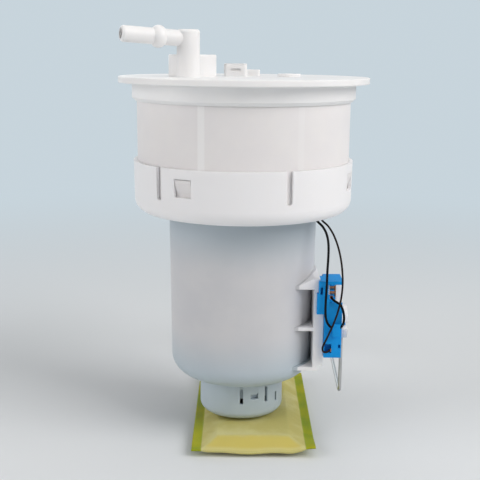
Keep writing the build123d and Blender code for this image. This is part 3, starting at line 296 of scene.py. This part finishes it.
bpy.context.scene.view_settings.view_transform = "Standard"
makeCamera()
makeLamps((solidBox[0] + solidBox[1]) / 2)
makeWorld()
makeFloor(solidBox[0].z - studio["floorGap"] * mm)
print("studio: camera, %d lamps, floor" % len(studio["lamps"]))


# the sender's two leads, free from the grommet to the frame

leadSkin = {
    "sides": 6,              # the round's fineness
    "steps": 16,             # points between two of the route
    "roughness": 0.42,
    "grain": 0.35,           # mm
    "grainDepth": 0.008,     # mm
    "grainRough": 0.2,
    "fleck": 3.0,            # flecks are this much paler
    "fleckShare": 0.5,
    "shine": 0.09,
}
leads = {
    "black_lead": {
        "radius": 0.62, "length": 84.1, "slot": "black_lead_skin", "tone": (0.003, 0.003, 0.0035),
        "route": [
            (37.4, -23.2, -67.92), (38.4, -24.0, -69.0), (40.6, -25.4, -70.8), (42.3, -26.5, -73.5),
            (43.3, -27.8, -76.7), (43.7, -29.2, -80.8), (43.5, -30.6, -86.7), (43.1, -31.6, -93.3),
            (43.0, -32.2, -100.5), (42.7, -32.4, -107.3), (42.6, -32.4, -113.6), (43.0, -32.2, -118.2),
            (44.5, -32.0, -121.5), (46.8, -31.9, -123.2), (49.7, -32.0, -123.5), (51.9, -32.1, -121.4),
            (52.5, -32.2, -117.6), (51.8, -32.3, -113.6), (50.5, -32.2, -110.4), (48.7, -32.1, -109.3),
            (46.6, -30.9, -108.3), (45.9, -28.8, -107.5),
        ],
    },
    "brown_lead": {
        "radius": 0.5, "length": 79.5, "slot": "brown_lead_skin", "tone": (0.010, 0.006, 0.005),
        "route": [
            (40.1, -21.8, -67.92), (41.0, -22.6, -68.9), (43.5, -24.1, -70.7), (46.1, -25.9, -74.5),
            (48.2, -28.1, -79.5), (49.8, -30.4, -85.7), (50.7, -32.8, -92.7), (50.9, -34.2, -99.9),
            (50.2, -34.8, -107.1), (48.8, -34.9, -113.4), (47.0, -34.9, -119.2), (44.9, -34.8, -124.3),
            (43.0, -34.4, -129.0), (41.5, -33.5, -132.6), (41.8, -32.5, -135.6), (44.3, -31.5, -136.4),
            (45.6, -29.9, -135.3),
        ],
    },
}


def leadFinish(name, tone):
    finish = Finish(name)
    grain = finish.noise(leadSkin["grain"], detail=3.0)
    pale = [leadSkin["fleck"] * part for part in tone]
    return finish.principled({
        "Base Color": finish.mixed(grain * leadSkin["fleckShare"], tone, pale),
        "Roughness": finish.rough(leadSkin["roughness"], (grain, leadSkin["grainRough"])),
        "Specular IOR Level": leadSkin["shine"],
        "Normal": finish.bump(grain, leadSkin["grainDepth"]),
    })


def makeLead(name, look):
    line = bpy.data.curves.new(name + "_line", "CURVE")
    line.dimensions = "3D"
    line.bevel_depth = look["radius"] * mm
    line.bevel_resolution = leadSkin["sides"]
    line.resolution_u = leadSkin["steps"]
    line.use_fill_caps = True
    spline = line.splines.new("NURBS")
    points = np.array(look["route"]) * mm
    spline.points.add(len(points) - 1)
    spline.points.foreach_set("co", np.c_[points, np.ones(len(points))].ravel())
    spline.order_u = 3
    spline.use_endpoint_u = True
    lead = bpy.data.objects.new(name + "_wire", line)
    bpy.context.scene.collection.objects.link(lead)
    line.materials.append(leadFinish(name + "_skin", look["tone"]))
    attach(lead, "module")
    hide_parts(name)


for leadName, leadLook in leads.items():
    makeLead(leadName, leadLook)
print("leads: %d" % len(leads))


# strainer bag: a sock of fine cloth with welded bands at its sides and back; lengths in mm

sock = {
    "rows": 153,             # points along and across
    "columns": 97,
    "inset": 0.1,            # inside the solid's sides
    "cloth": 0.32,           # thickness
    "band": 5.1,             # welded band's width
    "bandThick": 0.9,        # both layers where they are welded
    "edgeZ": -184.0,         # height of the bands
    "topZ": -179.75,
    "lowZ": -187.5,
    "sideSlope": 8.5,        # from a band up to the level top
    "frontSlope": 11.0,
    "frontStart": 0.07,      # share of the rise that the front edge starts with
    "riseLimit": 1.25,       # a slope counts up to this share
    "crease": 16.0,          # how sharply the slopes meet
    "cornerLift": 1.9,       # the right front corner stands up
    "cornerWide": 15.0,
    "cornerLong": 18.0,
    "frontDrop": 1.0,        # the front fold hangs lower than the bands
    "dropEnds": 9.0,         # less so this near to a band
    "ripple": 0.55,          # wave of the front fold
    "rippleReach": 9.0,      # how far back it goes
    "rippleLength": 4.6,     # for each radian
    "rippleStart": 0.8,      # radians
    "pucker": 0.22,          # small gathers beside the bands
    "puckerPitch": 6.5,
    "puckerSlant": 0.35,
    "puckerWander": 9.0,     # for each radian by which their rhythm sways
    "puckerFirst": 2.0,      # full height this far from a band
    "puckerReach": 5.0,
    "puckerBelow": 0.5,      # share that the lower layer has
    "slack": 0.16,           # low waves on the level top
    "slackAcross": 5.3,      # for each radian
    "slackAlong": 8.1,
    "slackStart": 0.4,       # radians
    "slackSway": 1.1,        # radians
    "slackSwayLength": 13.0,
    "slackFrom": 0.6,        # share of the rise where they begin
    "neckX": 8.0,
    "neckR": 8.45,
    "neckSnap": 1.2,         # points this near to the neck's edge are drawn onto it
}


def sockRise(side, front, back):
    # 0 at the bands to 1 on the level top, a hipped pillow: the smallest of the rises from the nearest side,
    # the front and the back, rounded where they meet
    slopes = [side / sock["sideSlope"], back / sock["sideSlope"],
              front / sock["frontSlope"] + sock["frontStart"]]
    rises = list(np.clip(slopes, 0, sock["riseLimit"])) + [np.ones_like(side)]
    rise = -np.log(np.mean(np.exp(-sock["crease"] * np.array(rises)), 0)) / sock["crease"]
    return np.clip(rise, 0, 1) * (np.minimum(np.minimum(side, back), front) > 0)


def sockGathers(x, y, edge):
    # slanting waves that begin beside a band and die away from it
    near = np.exp(-np.clip(edge, 0, None) / sock["puckerReach"]) * smoothStep(edge, 0, sock["puckerFirst"])
    turn = 2 * pi * (y + sock["puckerSlant"] * x) / sock["puckerPitch"] + np.sin(y / sock["puckerWander"])
    return sock["pucker"] * near * np.sin(turn)


def sockSlack(x, y, rise):
    # crossed waves, the one across swayed along the bag, where the top is nearly level
    across = np.sin(x / sock["slackAcross"] + sock["slackSway"] * np.sin(y / sock["slackSwayLength"]))
    along = np.sin(y / sock["slackAlong"] + sock["slackStart"])
    return sock["slack"] * across * along * smoothStep(rise, sock["slackFrom"], 1.0)


def sockMiddle(x, y, side, front, box):
    # between the layers: the bands' height, less the front's drop and its wave, plus the lifted corner
    low, high = box
    inner = smoothStep(side, 0, sock["dropEnds"])
    drop = sock["frontDrop"] * inner * (1 - smoothStep(front, 0, sock["frontSlope"]))
    wave = np.sin(x / sock["rippleLength"] + sock["rippleStart"])
    drop += sock["ripple"] * inner * (1 - smoothStep(front, 0, sock["rippleReach"])) * wave
    right = smoothStep(x, high[0] - sock["cornerWide"], high[0])
    corner = right * (1 - smoothStep(y, low[1], low[1] + sock["cornerLong"]))
    return sock["edgeZ"] - drop + sock["cornerLift"] * corner


def sockHeights(x, y, box):
    # top and bottom of the bag over each (x, y): the middle, half the bands' thickness, and the rise's share
    # of the way to the level top or to the lowest height, plus gathers and slack
    low, high = box
    side = np.minimum(x - low[0], high[0] - x) - sock["band"]
    front, back = y - low[1], high[1] - y - sock["band"]
    half = sock["bandThick"] / 2
    rise = sockRise(side, front, back)
    middle = sockMiddle(x, y, side, front, box)
    gather = sockGathers(x, y, np.minimum(side, back))
    top = middle + half + rise * (sock["topZ"] - half - middle) + gather + sockSlack(x, y, rise)
    bottom = middle - half - rise * (middle - half - sock["lowZ"]) + sock["puckerBelow"] * gather
    return top, np.maximum(bottom, sock["lowZ"])


def sockShell(x, y, box):
    # both layers of the grid and a wall round their rim; the upper one is open at the neck, where the points
    # near the neck's edge are drawn onto its circle
    top, bottom = sockHeights(x, y, box)
    away = np.hypot(x - sock["neckX"], y)
    inHole = away < sock["neckR"] - sock["neckSnap"]
    drawn = (away < sock["neckR"] + sock["neckSnap"]) & ~inHole
    pull = np.where(drawn, sock["neckR"] / np.where(drawn, away, 1), 1)
    upper = np.stack([sock["neckX"] + (x - sock["neckX"]) * pull, y * pull, top], -1)
    lower = np.stack([x, y, bottom], -1)
    cells = gridFaces(*x.shape)
    index = np.arange(x.size).reshape(x.shape)
    rim = np.concatenate([index[0, :-1], index[:-1, -1], index[-1, :0:-1], index[:0:-1, 0]])
    onward = np.roll(rim, -1)
    wall = np.stack([rim, rim + x.size, onward + x.size, onward], -1)
    faces = np.vstack([cells[~inHole.ravel()[cells].any(1)], cells[:, ::-1] + x.size, wall])
    used, faces = np.unique(faces, return_inverse=True)
    return np.vstack([upper.reshape(-1, 3), lower.reshape(-1, 3)])[used] * mm, faces.reshape(-1, 4)


def layCloth(mesh):
    # the weave's map: millimetres across and along, as the cloth lies on the bag
    spots = np.zeros(len(mesh.vertices) * 3, np.float32)
    mesh.vertices.foreach_get("co", spots)
    spots = spots.reshape(-1, 3) / mm
    corners = np.zeros(len(mesh.loops), np.int32)
    mesh.loops.foreach_get("vertex_index", corners)
    weave = mesh.uv_layers.new(name="weave")
    weave.data.foreach_set("uv", spots[corners][:, :2].ravel())


clothLook = {
    "cloth": (0.57, 0.52, 0.19),
    "clothPale": (0.68, 0.64, 0.30),
    "clothSpan": (0.35, 0.7),        # of the patches' noise
    "band": (0.24, 0.33, 0.015),
    "bandPale": (0.42, 0.41, 0.006),
    "bandSpan": (0.3, 0.7),
    "patch": 16.0,                   # mm
    "weld": (-0.35, 0.25),           # mm, soft edge of the band
    "wander": 7.0,                   # mm, how fast edges wander
    "wanderHalf": 0.25,              # mm, and how far
    "litFold": (0.66, 0.56, 0.155),     # painted light: the front slope, brighter and yellower where it faces the lamps
    "litFoldSpan": (0.65, 1.10),        # shares of it where its colour ends
    "litFoldWander": 0.5,
    "creaseHighlight": (0.68, 0.66, 0.34),   # painted highlight on the crease behind it; the front edge paler in the same colour
    "creaseHighlightHalf": 2.0,               # mm
    "creaseHighlightShare": 0.30,
    "paleFrontEdgeSpan": (0.05, 0.25),         # shares of the front slope
    "paleFrontEdgeShare": 0.5,
    "gapShade": (0.30, 0.24, 0.06),       # painted shade between threads
    "gapShadeShare": 0.22,
    "pitch": 0.55,                   # weave, mm
    "crossing": (0.45, 0.55),        # where one thread goes under another
    "knurl": 1.6,                    # mm, diamonds pressed into the bands
    "knurlHeight": 2.0,              # times a thread's
    "depth": 0.06,                   # mm
    "roughness": 0.82,
    "bandRoughness": 0.50,
    "shine": 0.08,
    "milk": 0.25,
    "milkReach": (1.2, 0.9, 0.4),    # mm for red, green and blue
}


def clothThreads(finish):
    # heights of the plain weave and of the bands' diamonds
    weave = finish.node("ShaderNodeUVMap", {"uv_map": "weave"}, {})
    u, v = finish.along("X", weave), finish.along("Y", weave)
    over = (u + v).wave(2 * clothLook["pitch"]).span(*clothLook["crossing"])
    thread = u.wave(clothLook["pitch"]) * over + v.wave(clothLook["pitch"]) * (1 - over)
    knurl = (u - v).wave(clothLook["knurl"]) * 0.5 + (u + v).wave(clothLook["knurl"]) * 0.5
    return thread, knurl


def clothFinish(box):
    low, high = box
    finish = Finish("strainer_cloth_weave")
    thread, knurl = clothThreads(finish)
    place = finish.place()
    x, y = finish.along("X", place) / mm, finish.along("Y", place) / mm
    side = x.maths("MINIMUM", x - low[0], high[0] - x)
    rim = side.maths("MINIMUM", side, high[1] - y)
    edge = finish.noise(clothLook["wander"]) * (2 * clothLook["wanderHalf"]) - clothLook["wanderHalf"]
    welded = [sock["band"] + reach for reach in clothLook["weld"]]
    band = 1 - (rim + edge).span(*welded)
    patch = finish.noise(clothLook["patch"], detail=3.0)
    plain = finish.mixed(patch.span(*clothLook["clothSpan"]), clothLook["cloth"], clothLook["clothPale"])
    bandTone = finish.mixed(patch.span(*clothLook["bandSpan"]), clothLook["band"], clothLook["bandPale"])
    forward = (y - low[1]) / sock["frontSlope"]
    inward = (side - sock["band"]) / sock["sideSlope"]
    rise = forward.maths("MAXIMUM", forward, forward - inward + 1)  # below 1 on the front fold
    # painted highlight: a pale line where the front slope meets the level top
    crease = 1 - rise.maths("ABSOLUTE", rise - 1).span(0.0, clothLook["creaseHighlightHalf"] / sock["sideSlope"])
    # painted light: the front slope brighter and yellower, as if lit from the front
    litFold = 1 - (rise + edge * clothLook["litFoldWander"]).span(*clothLook["litFoldSpan"])
    # the front edge paler, in the crease highlight's colour
    paleFrontEdge = clothLook["paleFrontEdgeShare"] - forward.span(*clothLook["paleFrontEdgeSpan"]) * clothLook["paleFrontEdgeShare"]
    plain = finish.mixed(litFold, plain, clothLook["litFold"])
    plain = finish.mixed(crease * clothLook["creaseHighlightShare"], plain, clothLook["creaseHighlight"])
    plain = finish.mixed(paleFrontEdge, plain, clothLook["creaseHighlight"])
    tone = finish.mixed(band, plain, bandTone)
    return finish.principled({
        # painted shade between the threads
        "Base Color": finish.mixed((1 - thread) * clothLook["gapShadeShare"], tone, clothLook["gapShade"]),
        "Roughness": clothLook["roughness"] - band * (clothLook["roughness"] - clothLook["bandRoughness"]),
        "Subsurface Weight": clothLook["milk"],
        "Subsurface Radius": clothLook["milkReach"],
        "Subsurface Scale": mm,
        "Specular IOR Level": clothLook["shine"],
        "Normal": finish.bump(thread * (1 - band) + knurl * band * clothLook["knurlHeight"],
                              clothLook["depth"]),
    })


def makeSock():
    low, high = [np.array(corner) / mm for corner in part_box("strainer_bag")]
    box = low + sock["inset"], high - sock["inset"]
    along = np.linspace(box[0][1], box[1][1], sock["rows"])
    across = np.linspace(box[0][0], box[1][0], sock["columns"])
    y, x = np.meshgrid(along, across, indexing="ij")
    bag = meshFrom("strainer_sock", *sockShell(x, y, box))
    layCloth(bag.data)
    wall = bag.modifiers.new("cloth", "SOLIDIFY")
    wall.thickness = sock["cloth"] * mm
    wall.offset = -1
    bag.data.materials.append(clothFinish(box))
    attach(bag, "module")
    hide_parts("strainer_bag")


makeSock()
print("strainer sock")


# finishes of the solids: each kind's own values, then its function; sizes and depths in mm

plasticSkin = {
    "patch": 22.0,                   # patches of a slightly other colour
    "patchSpan": (0.3, 0.7),
    "patchRough": 0.10,
    "grain": 0.45,                   # grain of the mould
    "grainRough": 0.14,
    "bump": 0.012,
    "edge": 0.35,                    # rounding of edges
    "milk": 0.0,                     # light that goes into the wall
    "milkReach": (1.0, 0.95, 0.9),
    "depth": 2.0,                    # and how far
    "clear": 0.0,
    "shine": 0.5,
    "ior": 1.48,
}


def ribShare(finish, look):
    # strength along the upright ribs inside the drum's wall, by the angle round the axis
    place = finish.place()
    turn = place.maths("ARCTAN2", finish.along("Y", place), finish.along("X", place))
    inner, outer = [radians(look["ribHalf"] + side * look["ribSoft"]) for side in (-1, 1)]
    share = 0.0
    for rib, strength in look["ribs"]:
        apart = turn.maths("PINGPONG", turn - radians(rib), pi)
        share = share + apart.span(inner, outer, strength, 0)
    return share


def barrelTone(finish, look, tone):
    # painted shade: bluer grey low down and on the cap, the ring's shadow at the top; pale outside the
    # barrel
    place = finish.place()
    up = finish.along("Z", place) / mm
    flat = finish.node("ShaderNodeVectorMath", {"operation": "MULTIPLY"}, {0: place, 1: (1, 1, 0)})
    wall = [look["barrelR"] + side * look["barrelSoft"] for side in (-1, 1)]
    barrel = (1 - (finish.length(flat) / mm).span(*wall)) * (1 - up.span(*look["split"]))
    # painted shade, bluer grey low on the barrel and over the cap
    tone = finish.mixed(up.span(*look["footZ"]), look["foot"], tone)
    # painted shadow of the ring over the barrel's top
    tone = finish.mixed(up.span(*look["ringShadowZ"]), tone, look["ringShadow"])
    return finish.mixed(barrel, look["beside"], tone)


def mouldedPlastic(name, own):
    look = {**plasticSkin, **own}
    finish = Finish(name)
    patch = finish.noise(look["patch"], detail=3.0)
    grain = finish.noise(look["grain"])
    tone = finish.mixed(patch.span(*look["patchSpan"]), look["colour"], look["shade"])
    if "barrelR" in look:
        tone = barrelTone(finish, look, tone)
    if "ribs" in look:
        tone = finish.mixed(ribShare(finish, look), tone, look["ribColour"])
    swings = (patch, look["patchRough"]), (grain, look["grainRough"])
    return finish.principled({
        "Base Color": tone,
        "Roughness": finish.rough(look["roughness"], *swings),
        "Subsurface Weight": look["milk"],
        "Subsurface Radius": look["milkReach"],
        "Subsurface Scale": look["depth"] * mm,
        "Transmission Weight": look["clear"],
        "Specular IOR Level": look["shine"],
        "IOR": look["ior"],
        "Normal": finish.bump(grain, look["bump"], look["edge"]),
    })


metalSkin = {
    "drawnSpan": (0.3, 0.7),         # of the streaks' noise
    "drawnRough": 0.18,
    "patch": 9.0,
    "patchRough": 0.12,
    "stainSpan": (0.55, 0.8),
    "bump": 0.006,
    "edge": 0.15,
}


def metal(name, own):
    look = {**metalSkin, **own}
    finish = Finish(name)
    drawn = finish.noise(look["streak"], 3.0, finish.stretched(look["run"]))
    patch = finish.noise(look["patch"], detail=3.0)
    tone = finish.mixed(drawn.span(*look["drawnSpan"]), look["colour"], look["shade"])
    if "stain" in look:
        tone = finish.mixed(patch.span(*look["stainSpan"]) * look["stainShare"], tone, look["stain"])
    swings = (patch, look["patchRough"]), (drawn, look["drawnRough"])
    return finish.principled({
        "Base Color": tone,
        "Metallic": 1.0,
        "Roughness": finish.rough(look["roughness"], *swings),
        "Normal": finish.bump(drawn, look["bump"], look["edge"]),
    })


rubberSkin = {
    "grain": 0.5,
    "grainRough": 0.2,
    "roughness": 0.65,
    "bump": 0.02,
    "patch": 6.0,
    "bloomSpan": (0.45, 0.8),        # of the patches' noise
}


def rubber(name, own):
    look = {**rubberSkin, **own}
    finish = Finish(name)
    grain = finish.noise(look["grain"], detail=3.0)
    patch = finish.noise(look["patch"], detail=3.0)
    return finish.principled({
        "Base Color": finish.mixed(patch.span(*look["bloomSpan"]), look["colour"], look["bloom"]),
        "Roughness": finish.rough(look["roughness"], (grain, look["grainRough"])),
        "Normal": finish.bump(grain, look["bump"]),
    })


def foam(name, look):
    finish = Finish(name)
    pores = finish.cells(look["cell"]).span(*look["cellSpan"])
    patch = finish.noise(look["patch"], detail=3.0)
    tone = finish.mixed(pores, look["pore"], look["colour"])
    return finish.principled({
        "Base Color": finish.mixed(patch.span(*look["dustSpan"]) * look["dustShare"], tone, look["dust"]),
        "Roughness": look["roughness"] - pores * look["poreRough"],
        "Specular IOR Level": look["shine"],
        "Normal": finish.bump(pores + patch * look["patchHeight"], look["bump"]),
    })


def windings(name, look):
    finish = Finish(name)
    wire = (finish.along("Z") / mm).wave(look["pitch"])
    wobble = finish.noise(look["wobble"])
    return finish.principled({
        "Base Color": finish.mixed(wire, look["shade"], look["colour"]),
        "Metallic": look["metallic"],
        "Roughness": finish.rough(look["roughness"], (wobble, look["wobbleRough"])),
        "Normal": finish.bump(wire + wobble * look["wobbleHeight"], look["bump"]),
    })


speckleSkin = {
    "span": (0.4, 0.65),             # of the grain's noise
    "grainRough": 0.2,
}


def speckled(name, own):
    look = {**speckleSkin, **own}
    finish = Finish(name)
    grain = finish.noise(look["grain"], detail=4.0)
    return finish.principled({
        "Base Color": finish.mixed(grain.span(*look["span"]), look["colour"], look["fleck"]),
        "Roughness": finish.rough(look["roughness"], (grain, look["grainRough"])),
        "Normal": finish.bump(grain, look["bump"]),
    })


def pleatedPaper(name, look):
    finish = Finish(name)
    fibre = finish.noise(look["fibreSize"], 4.0, finish.stretched(look["fibreRun"]))
    patch = finish.noise(look["patch"])
    tone = finish.mixed(fibre.span(*look["fibreSpan"]), look["colour"], look["fibre"])
    return finish.principled({
        "Base Color": finish.mixed(patch.span(*look["shadeSpan"]) * look["shadeShare"], tone, look["shade"]),
        "Roughness": look["roughness"],
        "Normal": finish.bump(fibre, look["bump"]),
    })


# one finish for each slot of the record

slotFinishes = {
    "white_plastic": (mouldedPlastic, {
        "colour": (0.89, 0.89, 0.89), "shade": (0.865, 0.865, 0.87), "roughness": 0.42, "milk": 0.30,
        "depth": 2.5}),
    "clear_plastic": (mouldedPlastic, {
        "colour": (0.89, 0.868, 0.862), "shade": (0.862, 0.84, 0.845), "roughness": 0.44, "milk": 0.3,
        "depth": 2.5, "clear": 0.06, "ior": 1.35, "ribColour": (0.94, 0.93, 0.93),
        "ribs": ((68.8, 1.0), (119.4, 0.3), (248.8, 1.0), (299.4, 0.3)),  # degrees, strength
        "ribHalf": 1.8, "ribSoft": 0.4}),
    "grey_plastic": (mouldedPlastic, {
        "colour": (0.63, 0.63, 0.645), "shade": (0.59, 0.595, 0.62), "roughness": 0.42, "milk": 0.3,
        # painted shade low on the barrel and the cap, and the ring's painted shadow at the barrel's top
        "foot": (0.46, 0.54, 0.595), "footZ": (-154.0, -124.0),
        "ringShadow": (0.43, 0.49, 0.535), "ringShadowZ": (-98.0, -71.0),
        "beside": (0.888, 0.885, 0.90), "barrelR": 40.2, "barrelSoft": 0.3, "split": (-68.0, -66.0)}),
    "blue_plastic": (mouldedPlastic, {
        "colour": (0.001, 0.27, 0.70), "shade": (0.001, 0.31, 0.79), "roughness": 0.52, "milk": 0.08,
        "depth": 1.0, "shine": 0.25}),
    "black_plastic": (mouldedPlastic, {
        "colour": (0.016, 0.016, 0.017), "shade": (0.028, 0.028, 0.030), "roughness": 0.50,
        "grain": 0.3, "bump": 0.02}),
    "black_rubber": (rubber, {"colour": (0.014, 0.014, 0.014), "bloom": (0.035, 0.035, 0.036)}),
    "steel": (metal, {
        "colour": (0.56, 0.56, 0.55), "shade": (0.44, 0.44, 0.44), "roughness": 0.31, "streak": 0.5,
        "run": (1, 1, 0.08)}),
    "tinned_brass": (metal, {
        "colour": (0.66, 0.62, 0.50), "shade": (0.55, 0.50, 0.38), "roughness": 0.29, "streak": 0.4,
        "run": (1, 1, 0.15)}),
    "bronze": (metal, {
        "colour": (0.42, 0.25, 0.12), "shade": (0.30, 0.17, 0.08), "roughness": 0.51, "streak": 0.3,
        "run": (1, 1, 1), "bump": 0.02}),
    "copper": (metal, {
        "colour": (0.66, 0.29, 0.14), "shade": (0.46, 0.18, 0.08), "roughness": 0.31, "streak": 0.4,
        "run": (1, 0.2, 1), "stain": (0.22, 0.10, 0.05), "stainShare": 0.6}),
    "copper_core": (windings, {
        "colour": (0.50, 0.24, 0.11), "shade": (0.12, 0.06, 0.03), "pitch": 0.8, "metallic": 0.8,
        "roughness": 0.40, "wobble": 1.5, "wobbleRough": 0.3, "wobbleHeight": 0.3, "bump": 0.08}),
    "magnet": (speckled, {
        "colour": (0.045, 0.045, 0.047), "fleck": (0.09, 0.09, 0.092), "grain": 0.4, "roughness": 0.6,
        "bump": 0.02}),
    "carbon": (speckled, {
        "colour": (0.02, 0.02, 0.02), "fleck": (0.07, 0.065, 0.06), "grain": 0.25, "roughness": 0.55,
        "bump": 0.015}),
    "filter_paper": (pleatedPaper, {
        "colour": (0.72, 0.64, 0.42), "fibre": (0.80, 0.74, 0.55), "shade": (0.60, 0.50, 0.30),
        "fibreSize": 0.8, "fibreRun": (1, 1, 0.35), "fibreSpan": (0.3, 0.7), "patch": 12.0,
        "shadeSpan": (0.4, 0.8), "shadeShare": 0.4, "roughness": 0.92, "bump": 0.04}),
    "card_ceramic": (speckled, {
        "colour": (0.80, 0.80, 0.77), "fleck": (0.86, 0.86, 0.84), "grain": 0.5, "roughness": 0.45,
        "bump": 0.01}),
    "track_ink": (speckled, {
        "colour": (0.025, 0.03, 0.025), "fleck": (0.05, 0.055, 0.05), "grain": 0.3, "roughness": 0.4,
        "bump": 0.01}),
    "float_black": (foam, {
        "colour": (0.022, 0.022, 0.023), "pore": (0.008, 0.008, 0.008), "cell": 0.7,
        "cellSpan": (0.15, 0.45), "dust": (0.05, 0.05, 0.05), "dustSpan": (0.4, 0.75), "dustShare": 0.5,
        "patch": 5.0, "patchHeight": 0.6, "roughness": 0.9, "poreRough": 0.15, "shine": 0.2, "bump": 0.14}),
    "black_lead_skin": (rubber, {"colour": (0.012, 0.012, 0.013), "bloom": (0.03, 0.03, 0.03)}),
    "brown_lead_skin": (rubber, {"colour": (0.035, 0.022, 0.018), "bloom": (0.06, 0.04, 0.035)}),
}


def dressSolids():
    finishes = {slot: make(slot + "_finish", look) for slot, (make, look) in slotFinishes.items()}
    for part in frame["record"]["subparts"]:
        piece = nodes[part["node"]]
        if not piece.hide_render:
            piece.material_slots[0].material = finishes[part["material_slot"]]


dressSolids()
print("finishes: %d slots" % len(slotFinishes))
